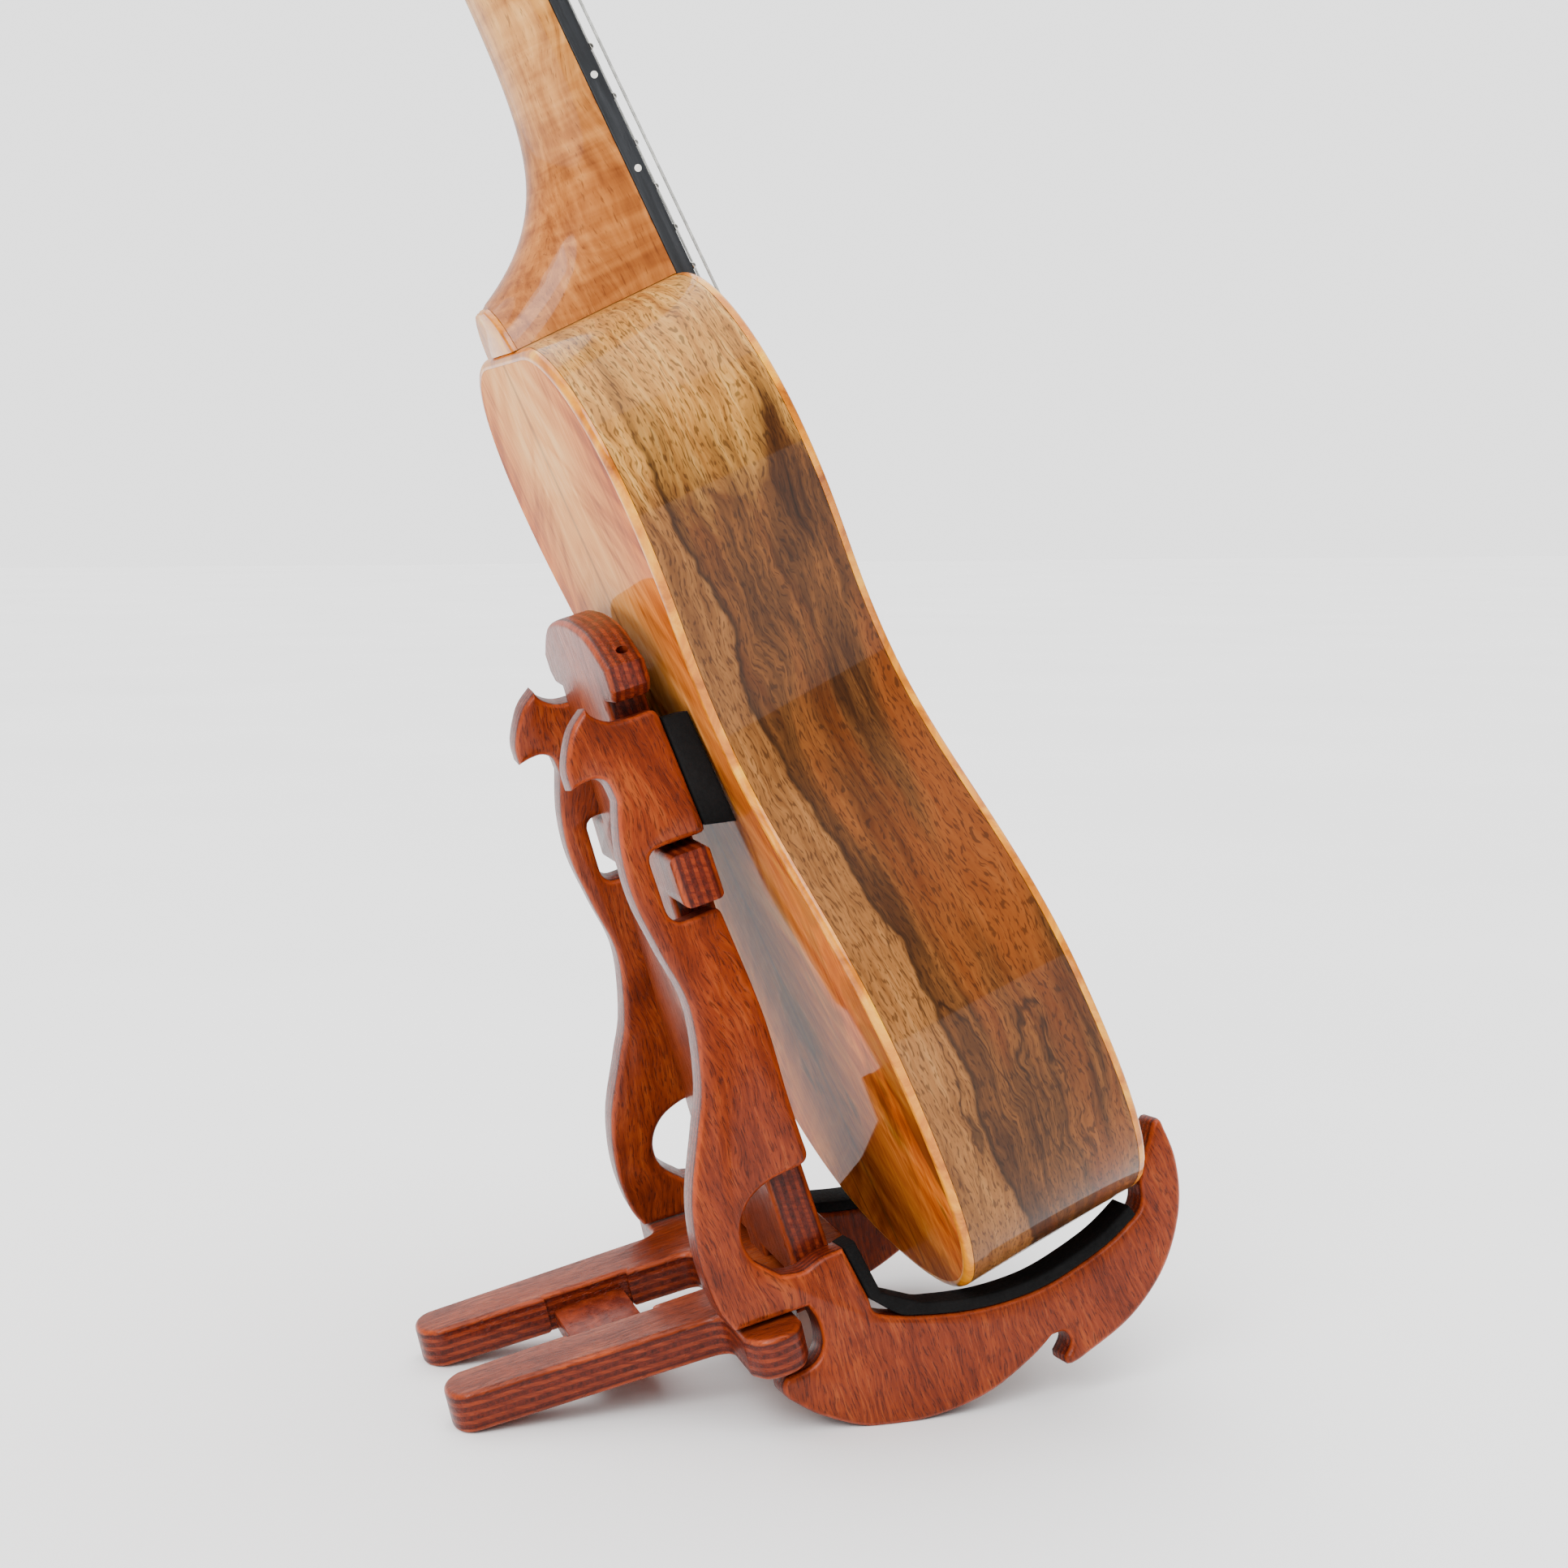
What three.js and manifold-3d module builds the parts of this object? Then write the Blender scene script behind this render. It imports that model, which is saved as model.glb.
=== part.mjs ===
// Tenor ukulele resting on a knock-down plywood stand.
// Millimetres. +X is forward (the soundboard side), +Y is the object's left, +Z is up.
import * as THREE from 'three';
import Module from 'manifold-3d';

const { Manifold, Mesh: SolidMesh } = await Module().then((m) => (m.setup(), m));

// ---------------------------------------------------------------- stand, driving dimensions
const ply = 12; //                 thickness of every plywood board
const fit = 0.3; //                clearance of a board in its notch or mortise
const glue = 0.15; //              glue line between two fixed pieces
const splay = 6.06; //             lean of each side plate from the vertical, degrees
const plateGap = 114.5; //         plate centre to plate centre, measured on the table
const standHeight = 203; //        top of the side plates
const padThick = [7.4, 9.3]; //    rubber on the upper front edge of a plate, at its top and foot
const cradlePad = 3.8; //          rubber inside the cradle
const spineLean = 17.15; //        lean of the spine board, degrees
const spineAtEar = 59.46; //       X of the back face of the spine, half way up its middle ears
const spineFoot = 21; //           lowest point of the spine tenon above the table
const headRise = 22.5; //          height of the spine head above its shoulders
const headHalf = 42; //            half width of the spine head
const earZ = [147.6, 161.8]; //    middle ear, bottom and top at the back face
const earProud = 5; //             how far a middle ear stands out of its plate
const holeRadius = 1.7; //         little hanging hole in the head
const forkSlope = 13.2; //         slope of the base fork, degrees
const prongOuter = [37, 40]; //    half spread of the prongs outside, at the tip and at the front
const prongInner = [18, 16]; //    half spread of the prongs inside, at the tip and at the front
const webThick = 6.4; //           thickness left in the web between the prongs
const webSpan = [37.5, 59.5]; //   the web along the fork, from the prong tips
const crossSpan = [82, 97.5]; //   the front cross-member along the fork
const noseProud = 8.5; //          how far a fork ear stands out of its plate
const footLand = 0.7; //           depth of the flat planed on each foot

// -------------------------------------------------------------- ukulele, driving dimensions
const lean = 26; //                lean of the soundboard, degrees
const bodyLength = 298; //         tail to neck joint
const lowerBout = [88, 97]; //     distance from the tail, half width
const waist = [186, 62]; //        the same for the waist
const upperBout = [250, 74]; //    the same for the upper bout
const shoulder = 27; //            half width of the flat at the neck joint
const tailDepth = 60; //           body depth at the tail
const neckDepth = 51; //           body depth at the neck joint
const plateThick = 2.2; //         soundboard and back
const ribThick = 2; //             sides
const liningDeep = 7; //           height of the linings
const liningWide = 4.5; //         width of the linings
const blockLong = 20; //           neck and tail blocks along the body
const blockHalf = 24; //           half width of the blocks
const soundholeRadius = 31;
const soundholeAt = 198; //        centre, from the tail
const scaleLength = 432; //        nut to saddle
const jointFret = 14;
const fretCount = 18;
const boardThick = 5; //           fretboard
const nutHalf = 17.5; //           half width of the fretboard at the nut
const jointHalf = 21.5; //         half width of the fretboard at the joint
const neckThick = 15; //           neck shaft below the fretboard
const heelLong = 13; //            heel measured on its cap
const capThick = 1.8;
const fretRadius = 1.1;
const nutThick = 4.5;
const action = 2.6; //             string above the fretboard at the nut
const saddleRise = 11.5; //        string above the soundboard at the saddle
const stringRadius = 0.4;
const stringSpread = [4.6, 6.6]; // half of the gap between strings, at the nut and at the saddle
const bridgeLong = 84;
const bridgeWide = 24;
const bridgeThick = 7;
const headstockLong = 132;
const headstockThick = 12;
const headstockTilt = 12; //       degrees behind the neck
const headstockHalf = [20, 31, 27]; // half width at the nut, at the shoulder and at the top
const tunerAt = [38, 88]; //       tuner pairs, from the nut
const tunerOut = 17; //            tuner post from the centre line
const postRadius = 3;
const boreGap = 0.35; //           clearance of the turning parts in their holes

// tail of the ukulele on the cradle: back lower edge of the body, on the centre line
const tailBack = [144.3, 26.7];

// ------------------------------------------------------------------------------- materials
const paint = (color, roughness, metalness = 0) => () =>
  new THREE.MeshStandardMaterial({ color, roughness, metalness });
const sapele = paint(0xa85636, 0.42);
const rubber = paint(0x0c0c0c, 0.85);
const koa = paint(0x9a6a3c, 0.18);
const spruce = paint(0xd8b27a, 0.55);
const mahogany = paint(0xb87a4a, 0.25);
const ebony = paint(0x2a3038, 0.5);
const bone = paint(0xece4d0, 0.4);
const nickel = paint(0xb9bbbd, 0.25, 1);
const nylon = paint(0xd8d8d4, 0.3);
const pearl = paint(0xf2efe6, 0.3);

// --------------------------------------------------------------------------------- helpers
const rad = THREE.MathUtils.degToRad;
const mix = THREE.MathUtils.lerp;

function solidOf(geometry) {
  const flat = geometry.index ? geometry.toNonIndexed() : geometry;
  const at = flat.attributes.position;
  const seen = new Map();
  const corners = [];
  const triangles = [];
  for (let i = 0; i < at.count; i += 3) {
    const face = [0, 1, 2].map((k) => {
      const p = [at.getX(i + k), at.getY(i + k), at.getZ(i + k)];
      const key = p.map((value) => Math.round(value * 1e4)).join();
      if (!seen.has(key)) {
        seen.set(key, corners.length / 3);
        corners.push(...p);
      }
      return seen.get(key);
    });
    if (new Set(face).size === 3) triangles.push(...face);
  }
  return new Manifold(new SolidMesh({
    numProp: 3,
    vertProperties: new Float32Array(corners),
    triVerts: new Uint32Array(triangles),
  }));
}

function geometryOf(solid) {
  const mesh = solid.getMesh();
  const geometry = new THREE.BufferGeometry();
  geometry.setAttribute('position', new THREE.BufferAttribute(mesh.vertProperties, 3));
  geometry.setIndex(new THREE.BufferAttribute(mesh.triVerts, 1));
  const flat = geometry.toNonIndexed();
  flat.computeVertexNormals();
  return flat;
}

// extrude a flat outline (u, v) along w and lay (u, v, w) on the three given world axes
function board(shape, thick, axes, segments = 5) {
  const geometry = new THREE.ExtrudeGeometry(shape, {
    depth: thick,
    bevelEnabled: false,
    curveSegments: segments,
  });
  geometry.applyMatrix4(new THREE.Matrix4().makeBasis(...axes));
  return geometry;
}
const axisX = new THREE.Vector3(1, 0, 0);
const axisY = new THREE.Vector3(0, 1, 0);
const axisZ = new THREE.Vector3(0, 0, 1);
const upright = [axisX, axisZ, axisY.clone().negate()]; // u forward, v up, w to the right
const shapeOf = (points) => new THREE.Shape(points.map(([u, v]) => new THREE.Vector2(u, v)));
const vectors = (points) => points.map(([u, v]) => new THREE.Vector2(u, v));
const box = (x, y, z) => solidOf(new THREE.BoxGeometry(x, y, z));

// a ring-by-ring skin: every ring has the same number of points, ends closed flat
function loft(rings) {
  const count = rings[0].length;
  const at = [];
  const quad = (a, b, c, d) => at.push(...a, ...b, ...c, ...a, ...c, ...d);
  for (let i = 0; i + 1 < rings.length; i += 1) {
    for (let k = 0; k < count; k += 1) {
      const n = (k + 1) % count;
      quad(rings[i][k], rings[i][n], rings[i + 1][n], rings[i + 1][k]);
    }
  }
  const cap = (ring, flip) => {
    for (let k = 1; k + 1 < count; k += 1) {
      const fan = flip ? [ring[0], ring[k + 1], ring[k]] : [ring[0], ring[k], ring[k + 1]];
      at.push(...fan.flat());
    }
  };
  cap(rings[0], true);
  cap(rings[rings.length - 1], false);
  const geometry = new THREE.BufferGeometry();
  geometry.setAttribute('position', new THREE.Float32BufferAttribute(at, 3));
  return geometry;
}

const group = new THREE.Group();
group.name = 'ukulele_on_stand';

function add(parent, name, source, material) {
  const geometry = source instanceof THREE.BufferGeometry ? source : geometryOf(source);
  if (!geometry.attributes.normal) geometry.computeVertexNormals();
  const mesh = new THREE.Mesh(geometry, material());
  mesh.name = name;
  parent.add(mesh);
  return mesh;
}

// ------------------------------------------------------------------------ stand, side plates
// spine board in the plane of a plate: back and front faces as lines leaning to the rear
const spineTan = Math.tan(rad(spineLean));
const spineAcross = ply / Math.cos(rad(spineLean));
const spineX = (z) => spineAtEar + ((earZ[0] + earZ[1]) / 2 - z) * spineTan; // back face
const spineBack = spineX(0); //                     where that face would meet the table
const shoulderZ = standHeight - 0.6; //             the head sits on the plates here
const frontRise = ply * Math.sin(rad(spineLean)); // front face of the spine above its back

// fork board: top face as a line rising forward, along its length from the prong tips
const forkTan = Math.tan(rad(forkSlope));
const forkCos = Math.cos(rad(forkSlope));
const forkTop = (x) => 11.6 + x * forkTan;

// front of the ukulele's tail: the cradle and the horn in front of it keep their place to it
const tailFront = tailBack[0] + tailDepth * Math.cos(rad(lean));

// pad faces: the cradle follows the plate, the back pad lies against the ukulele's back
const cradleEdge = [
  [105.2, 50.2], [108.6, 44.2], [112.6, 35.2], [115.6, 30.8], [130.8, 29.2], [147.3, 29.8],
  [162.6, 33.1], [tailFront - 23.9, 38.2], [tailFront - 12.0, 45.2], [tailFront - 3.6, 52.4],
];
const padEdge = [[57.6, 199.4], [68.8, 170.0]]; // plate edge behind the back pad

// heights in the plane of a plate, and how far its two faces differ in height at one edge
const inPlate = (z) => z / Math.cos(rad(splay));
const splayRise = ply / 2 * Math.sin(rad(splay));

function plateShape() {
  const notchX = spineAtEar;
  const notchTop = inPlate(earZ[1] + frontRise + splayRise + 1.2);
  const notchBottom = inPlate(earZ[0] - splayRise - 2.6);
  const noseTop = (x) => inPlate(forkTop(x) + fit + splayRise);
  const s = new THREE.Shape();
  s.moveTo(36.4, standHeight);
  s.splineThru(vectors([[38.6, 200.7], [43.2, 199.3], [48.5, 200.3], [54.2, 202.2]]));
  s.quadraticCurveTo(56.5, 202.6, padEdge[0][0], padEdge[0][1]);
  s.lineTo(padEdge[1][0], padEdge[1][1]);
  s.quadraticCurveTo(notchX + 10.1, notchTop + 0.1, notchX + 7.3, notchTop - 0.4);
  s.lineTo(notchX - 3.1, notchTop - 3.6);
  s.quadraticCurveTo(notchX - 6.9, notchTop - 4.8, notchX - 6.1, notchTop - 8.0);
  s.lineTo(notchX - 2.3, notchBottom + 2.6);
  s.quadraticCurveTo(notchX - 1.1, notchBottom - 1.6, notchX + 2.5, notchBottom - 1.2);
  s.lineTo(notchX + 11.3, notchBottom + 2.0);
  s.quadraticCurveTo(notchX + 13.3, notchBottom + 2.4, notchX + 14.3, notchBottom - 0.8);
  s.splineThru(vectors([[84.2, 117.5], [90.4, 95.0], [95.6, 78.0]]));
  s.quadraticCurveTo(96.0, 75.4, 93.2, 74.2);
  s.splineThru(vectors([[84.4, 70.7], [78.2, 65.2], [75.9, 57.4], [78.8, 49.6], [87.0, 44.4]]));
  s.splineThru(vectors([[93.0, 44.8], [98.8, 48.2], cradleEdge[0]]));
  s.lineTo(cradleEdge[2][0], cradleEdge[2][1]);
  s.splineThru(vectors(cradleEdge.slice(3)));
  const horn = (points) => vectors(points.map(([u, v]) => [tailFront + u, v]));
  s.quadraticCurveTo(tailFront - 0.8, 55.6, tailFront - 1.9, 60.4);
  s.splineThru(horn([[-1.6, 66.4], [0.8, 72.8], [2.4, 78.4]]));
  s.quadraticCurveTo(tailFront + 3.7, 80.8, tailFront + 5.2, 79.0);
  s.splineThru(horn([
    [9.8, 67.2], [10.4, 52.4], [5.2, 36.4], [-5.5, 23.0], [-19.9, 13.4], [-24.6, 11.0],
  ]));
  s.quadraticCurveTo(tailFront - 27.2, 10.2, tailFront - 27.0, 13.2);
  s.splineThru(horn([[-24.9, 17.4], [-26.8, 20.4], [-30.6, 19.8]]));
  s.splineThru(vectors([
    [160.5, 13.4], [147.5, 5.2], [131.0, 0.2], [113.0, -footLand], [98.0, 3.8], [88.4, 9.4],
  ]));
  s.quadraticCurveTo(84.8, 12.4, 87.6, 15.6);
  s.splineThru(vectors([[95.2, 18.4], [98.4, 23.4], [97.4, 30.0], [94.6, noseTop(94.6)]]));
  s.lineTo(73.4, noseTop(73.4));
  s.splineThru(vectors([
    [68.6, 36.6], [64.0, 50.0], [62.2, 66.4], [64.2, 84.0], [65.8, 99.0], [63.2, 120.0],
    [55.6, 135.4], [48.6, 150.0], [45.2, 164.0], [44.6, 177.6],
  ]));
  s.splineThru(vectors([[42.2, 182.6], [38.8, 183.8], [35.2, 182.6], [32.2, 180.8]]));
  s.splineThru(vectors([[30.8, 187.2], [32.6, 197.0], [36.4, standHeight]]));
  return s;
}

// strip of rubber on the cradle: the plate edge below, the same line lifted above
function cradleShape() {
  const below = new THREE.SplineCurve(vectors(cradleEdge.slice(3)));
  const rise = (lift) => below.getSpacedPoints(14).map((p, i) => {
    const t = below.getTangentAt(i / 14);
    return new THREE.Vector2(p.x - t.y * lift, p.y + t.x * lift);
  });
  const start = new THREE.Vector2(...cradleEdge[0]);
  const corner = new THREE.Vector2(...cradleEdge[2]);
  const dir = corner.clone().sub(start).normalize();
  const side = new THREE.Vector2(-dir.y, dir.x);
  const wall = (p, lift) => p.clone().addScaledVector(side, lift);
  const upper = rise(cradlePad).slice(2);
  const lower = rise(glue).reverse();
  return new THREE.Shape([
    wall(start, glue),
    wall(start, cradlePad),
    wall(corner, cradlePad),
    ...upper,
    ...lower.slice(0, -1),
    wall(corner, glue),
  ]);
}

function backPadShape() {
  const [top, bottom] = padEdge;
  return shapeOf([
    [top[0] + glue, top[1] + 0.6],
    [bottom[0] + glue, bottom[1] + 0.2],
    [bottom[0] + padThick[1], bottom[1] + 1.0],
    [top[0] + padThick[0], top[1] + 2.3],
  ]);
}

// a plate standing at one side: turned about the X axis by the splay, then moved out
function standUp(geometry, side) {
  const m = new THREE.Matrix4().makeTranslation(0, side * plateGap / 2, 0)
    .multiply(new THREE.Matrix4().makeRotationX(side * rad(splay)))
    .multiply(new THREE.Matrix4().makeTranslation(0, ply / 2, 0));
  return geometry.applyMatrix4(m);
}

for (const [side, name] of [[-1, 'right'], [1, 'left']]) {
  const make = (shape, segments) => standUp(board(shape, ply, upright, segments), side);
  const plate = solidOf(make(plateShape(), 3)).trimByPlane([0, 0, 1], 0);
  add(group, `side_plate_${name}`, plate, sapele);
  add(group, `back_pad_${name}`, make(backPadShape()), rubber);
  add(group, `cradle_pad_${name}`, make(cradleShape()), rubber);
}

// ------------------------------------------------------------------------- stand, spine board
// half widths between the inner faces and over the outer faces of the plates, at a height
const splayTan = Math.tan(rad(splay));
const innerHalf = (z) => plateGap / 2 - z * splayTan - ply / 2 / Math.cos(rad(splay)) - fit;
const outerHalf = (z) => innerHalf(z) + fit + ply / Math.cos(rad(splay));

// outline in the plane of the board: v is the distance along the board from the table
const along = (z) => z / Math.cos(rad(spineLean));
const between = (z) => innerHalf(z + frontRise);
const overall = (z) => outerHalf(z) + earProud;
function spineShape() {
  const half = [
    [9, along(spineFoot)], [9, along(forkTop(104) + 1.2)],
    [between(forkTop(104) + 1.2), along(forkTop(104) + 1.2)],
    [between(earZ[0]), along(earZ[0])],
    [overall(earZ[0]), along(earZ[0])],
    [overall(earZ[1]), along(earZ[1])],
    [between(earZ[1]), along(earZ[1])],
    [between(shoulderZ), along(shoulderZ)],
    [headHalf - 4, along(shoulderZ) + 0.6],
    [headHalf, along(shoulderZ) + 4], [headHalf, along(shoulderZ) + headRise * 0.48],
  ];
  const s = new THREE.Shape();
  s.moveTo(...half[0]);
  half.slice(1).forEach((p) => s.lineTo(...p));
  const crown = along(shoulderZ) + headRise;
  s.splineThru(vectors([
    [headHalf * 0.66, crown - 3.6], [headHalf * 0.3, crown - 0.6], [0, crown],
    [-headHalf * 0.3, crown - 0.6], [-headHalf * 0.66, crown - 3.6],
    [-headHalf, along(shoulderZ) + headRise * 0.48],
  ]));
  half.slice(0, -1).reverse().forEach(([y, v]) => s.lineTo(-y, v));
  return s;
}
const leanBack = new THREE.Vector3(-Math.sin(rad(spineLean)), 0, Math.cos(rad(spineLean)));
const spineNormal = new THREE.Vector3(leanBack.z, 0, -leanBack.x);
const spineAxes = [axisY, leanBack, spineNormal];
const spineGeometry = board(spineShape(), ply, spineAxes, 4).translate(spineBack, 0, 0);
const hangHole = Manifold.cylinder(16, holeRadius, holeRadius, 16).rotate([38, 0, 0])
  .translate([spineX(212) + spineAcross * 0.55, -31, 206]);
add(group, 'spine_board', solidOf(spineGeometry).subtract(hangHole), sapele);

// ---------------------------------------------------------------------------- stand, base fork
// outline in the plane of the board: u along the fork from the prong tips, v to the left
function forkShape() {
  const [tip, front] = crossSpan;
  const noseOut = outerHalf(26) + noseProud;
  const s = new THREE.Shape();
  s.moveTo(3, prongInner[0]);
  s.lineTo(tip - 4, prongInner[1]);
  s.quadraticCurveTo(tip, prongInner[1], tip, prongInner[1] - 4);
  s.lineTo(tip, -prongInner[1] + 4);
  s.quadraticCurveTo(tip, -prongInner[1], tip - 4, -prongInner[1]);
  s.lineTo(3, -prongInner[0]);
  s.quadraticCurveTo(-3, -prongInner[0] - 2, -3, -(prongInner[0] + prongOuter[0]) / 2);
  s.quadraticCurveTo(-3, -prongOuter[0] + 1, 3, -prongOuter[0]);
  s.lineTo(70, -prongOuter[1]);
  s.quadraticCurveTo(76.6, -prongOuter[1], 76.6, -innerHalf(26) + 2);
  s.lineTo(76.6, -noseOut + 7);
  s.splineThru(vectors([
    [79.6, -noseOut + 1.6], [85.0, -noseOut], [90.8, -noseOut + 2.2], [94.0, -noseOut + 8],
  ]));
  s.lineTo(94.0, -innerHalf(26) + 1);
  s.quadraticCurveTo(front, -innerHalf(26) + 3, 100, -30);
  s.lineTo(124, -24);
  s.lineTo(124, 24);
  s.lineTo(100, 30);
  s.quadraticCurveTo(front, innerHalf(26) - 3, 94.0, innerHalf(26) - 1);
  s.lineTo(94.0, noseOut - 8);
  s.splineThru(vectors([
    [90.8, noseOut - 2.2], [85.0, noseOut], [79.6, noseOut - 1.6], [76.6, noseOut - 7],
  ]));
  s.lineTo(76.6, innerHalf(26) - 2);
  s.quadraticCurveTo(76.6, prongOuter[1], 70, prongOuter[1]);
  s.lineTo(3, prongOuter[0]);
  s.quadraticCurveTo(-3, prongOuter[0] - 1, -3, (prongInner[0] + prongOuter[0]) / 2);
  s.quadraticCurveTo(-3, prongInner[0] + 2, 3, prongInner[0]);
  return s;
}
const forkUp = new THREE.Vector3(-Math.sin(rad(forkSlope)), 0, forkCos);
const forkAlong = new THREE.Vector3(forkCos, 0, Math.sin(rad(forkSlope)));
const forkPlace = new THREE.Matrix4().makeBasis(forkAlong, axisY, forkUp)
  .setPosition(0, 0, forkTop(0));
const forkBoard = solidOf(board(forkShape(), ply, [axisX, axisY, axisZ], 4).translate(0, 0, -ply));
const web = box(webSpan[1] - webSpan[0], 2 * prongInner[0] + 6, webThick)
  .translate([(webSpan[0] + webSpan[1]) / 2, 0, -ply + webThick / 2]);
const dado = box(webSpan[1] - webSpan[0] + 4, 2 * prongInner[0] + 1, ply)
  .translate([(webSpan[0] + webSpan[1]) / 2, 0, -ply + webThick + ply / 2]);
const forkSolid = forkBoard.add(web).subtract(dado)
  .transform(forkPlace.elements);
const mortise = solidOf(board(shapeOf([
  [9 + fit, -20], [9 + fit, 80], [-9 - fit, 80], [-9 - fit, -20],
]), ply + 2 * fit, spineAxes).translate(spineBack - fit / spineNormal.x, 0, 0));
add(group, 'base_fork', forkSolid.subtract(mortise).trimByPlane([0, 0, 1], 0), sapele);

// ------------------------------------------------------------------------------- ukulele
// its own frame: Z along the soundboard from the tail, X out of the soundboard, Y to the left
const ukulele = new THREE.Group();
ukulele.name = 'ukulele';
ukulele.rotation.y = -rad(lean);
ukulele.position.set(tailFront, 0, tailBack[1] + tailDepth * Math.sin(rad(lean)));
group.add(ukulele);

const faceOn = [axisY, axisZ, axisX]; // u to the left, v up the body, w out of the soundboard
const depthAt = (z) => mix(tailDepth, neckDepth, z / bodyLength);

// half outline of the body, tail to neck joint, set in by a distance
function halfBody(inset) {
  const [lowZ, lowW] = lowerBout;
  const [midZ, midW] = waist;
  const [topZ, topW] = upperBout;
  const path = new THREE.Path();
  path.moveTo(0, 0);
  path.bezierCurveTo(lowW * 0.84, 0, lowW, lowZ * 0.43, lowW, lowZ);
  path.bezierCurveTo(lowW, mix(lowZ, midZ, 0.46), midW, mix(midZ, lowZ, 0.36), midW, midZ);
  path.bezierCurveTo(midW, mix(midZ, topZ, 0.4), topW, mix(topZ, midZ, 0.42), topW, topZ);
  path.bezierCurveTo(topW, mix(topZ, bodyLength, 0.62), topW * 0.72, bodyLength, shoulder, bodyLength);
  const points = [];
  path.curves.forEach((curve, n) => {
    for (let k = n === 0 ? 0 : 1; k <= 9; k += 1) {
      const p = curve.getPoint(k / 9);
      const t = curve.getTangent(k / 9);
      points.push([p.x - t.y * inset, p.y + t.x * inset]);
    }
  });
  return points;
}
function wholeBody(inset) {
  const half = halfBody(inset);
  const other = half.slice(1).reverse().map(([w, z]) => [-w, z]);
  return shapeOf([...half, ...other]);
}
function halfWidth(z, inset) {
  const half = halfBody(inset);
  const n = half.findIndex((p) => p[1] > z);
  const [w0, z0] = half[n - 1];
  const [w1, z1] = half[n];
  return mix(w0, w1, (z - z0) / (z1 - z0));
}
// a flat outline given thickness between two faces that may follow the back
function layer(shape, backFace, frontFace) {
  const geometry = board(shape, 1, faceOn, 8);
  const at = geometry.attributes.position;
  for (let i = 0; i < at.count; i += 1) {
    const z = at.getZ(i);
    at.setX(i, mix(backFace(z), frontFace(z), at.getX(i)));
  }
  geometry.computeVertexNormals();
  return geometry;
}
const bar = (halfLong, z, halfWide) => shapeOf([
  [-halfLong, z - halfWide], [halfLong, z - halfWide], [halfLong, z + halfWide],
  [-halfLong, z + halfWide],
]);
const underTop = -plateThick - glue; //               inner face of the soundboard
const overBack = (z) => plateThick + glue - depthAt(z); // inner face of the back

const topShape = wholeBody(0);
const soundhole = new THREE.Path();
soundhole.absarc(0, soundholeAt, soundholeRadius, 0, 2 * Math.PI, true);
topShape.holes.push(soundhole);
add(ukulele, 'soundboard', layer(topShape, () => -plateThick, () => 0), koa);
add(ukulele, 'back_plate', layer(wholeBody(0), (z) => -depthAt(z), (z) => overBack(z) - glue), koa);

for (const [side, name] of [[-1, 'right'], [1, 'left']]) {
  const ring = (inset) => {
    const half = halfBody(inset);
    half[0] = [glue, half[0][1]];
    return [...half, [glue, bodyLength - inset]];
  };
  const outline = [...ring(0), ...ring(ribThick).reverse()].map(([w, z]) => [side * w, z]);
  add(ukulele, `rib_${name}`, layer(shapeOf(outline), overBack, () => underTop), koa);
}

const liningShape = () => {
  const shape = wholeBody(ribThick + glue);
  shape.holes.push(new THREE.Path(wholeBody(ribThick + glue + liningWide).getPoints(1)));
  return shape;
};
add(ukulele, 'lining_top', layer(liningShape(), () => underTop - liningDeep, () => underTop), spruce);
add(
  ukulele,
  'lining_back',
  layer(liningShape(), overBack, (z) => overBack(z) + liningDeep),
  spruce,
);
const blockFront = () => underTop - liningDeep - glue;
const blockBack = (z) => overBack(z) + liningDeep + glue;
const inside = ribThick + glue;
const insideEdge = halfBody(inside);
const past = insideEdge.findIndex(([w]) => w > blockHalf);
const [wideBefore, highBefore] = insideEdge[past - 1];
const [wideAfter, highAfter] = insideEdge[past];
const share = (blockHalf - wideBefore) / (wideAfter - wideBefore);
const tailOutline = [
  ...insideEdge.slice(0, past),
  [blockHalf, mix(highBefore, highAfter, share)],
  [blockHalf, blockLong],
];
const mirrored = tailOutline.slice(1).reverse().map(([w, z]) => [-w, z]);
add(
  ukulele,
  'tail_block',
  layer(shapeOf([...tailOutline, ...mirrored]), blockBack, blockFront),
  mahogany,
);
const neckBlockZ = bodyLength - inside - blockLong / 2;
add(
  ukulele,
  'neck_block',
  layer(bar(blockHalf, neckBlockZ, blockLong / 2), blockBack, blockFront),
  mahogany,
);

const braceInset = ribThick + liningWide + 2 * glue;
const braceHalf = (z, halfWide) =>
  Math.min(halfWidth(z - halfWide, braceInset), halfWidth(z + halfWide, braceInset)) - 0.6;
const topBraceZ = soundholeAt - soundholeRadius - 11;
add(
  ukulele,
  'top_brace',
  layer(bar(braceHalf(topBraceZ, 3), topBraceZ, 3), () => underTop - 7, () => underTop),
  spruce,
);
const fanMiddle = (topBraceZ - 5 + blockLong + 6) / 2;
add(
  ukulele,
  'fan_brace',
  layer(bar(2.5, fanMiddle, topBraceZ - 5 - fanMiddle), () => underTop - 5, () => underTop),
  spruce,
);
for (const [z, name] of [[lowerBout[0], 'lower'], [upperBout[0] - 4, 'upper']]) {
  add(
    ukulele,
    `back_brace_${name}`,
    layer(bar(braceHalf(z, 4), z, 4), overBack, (at) => overBack(at) + 9),
    spruce,
  );
}

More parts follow.
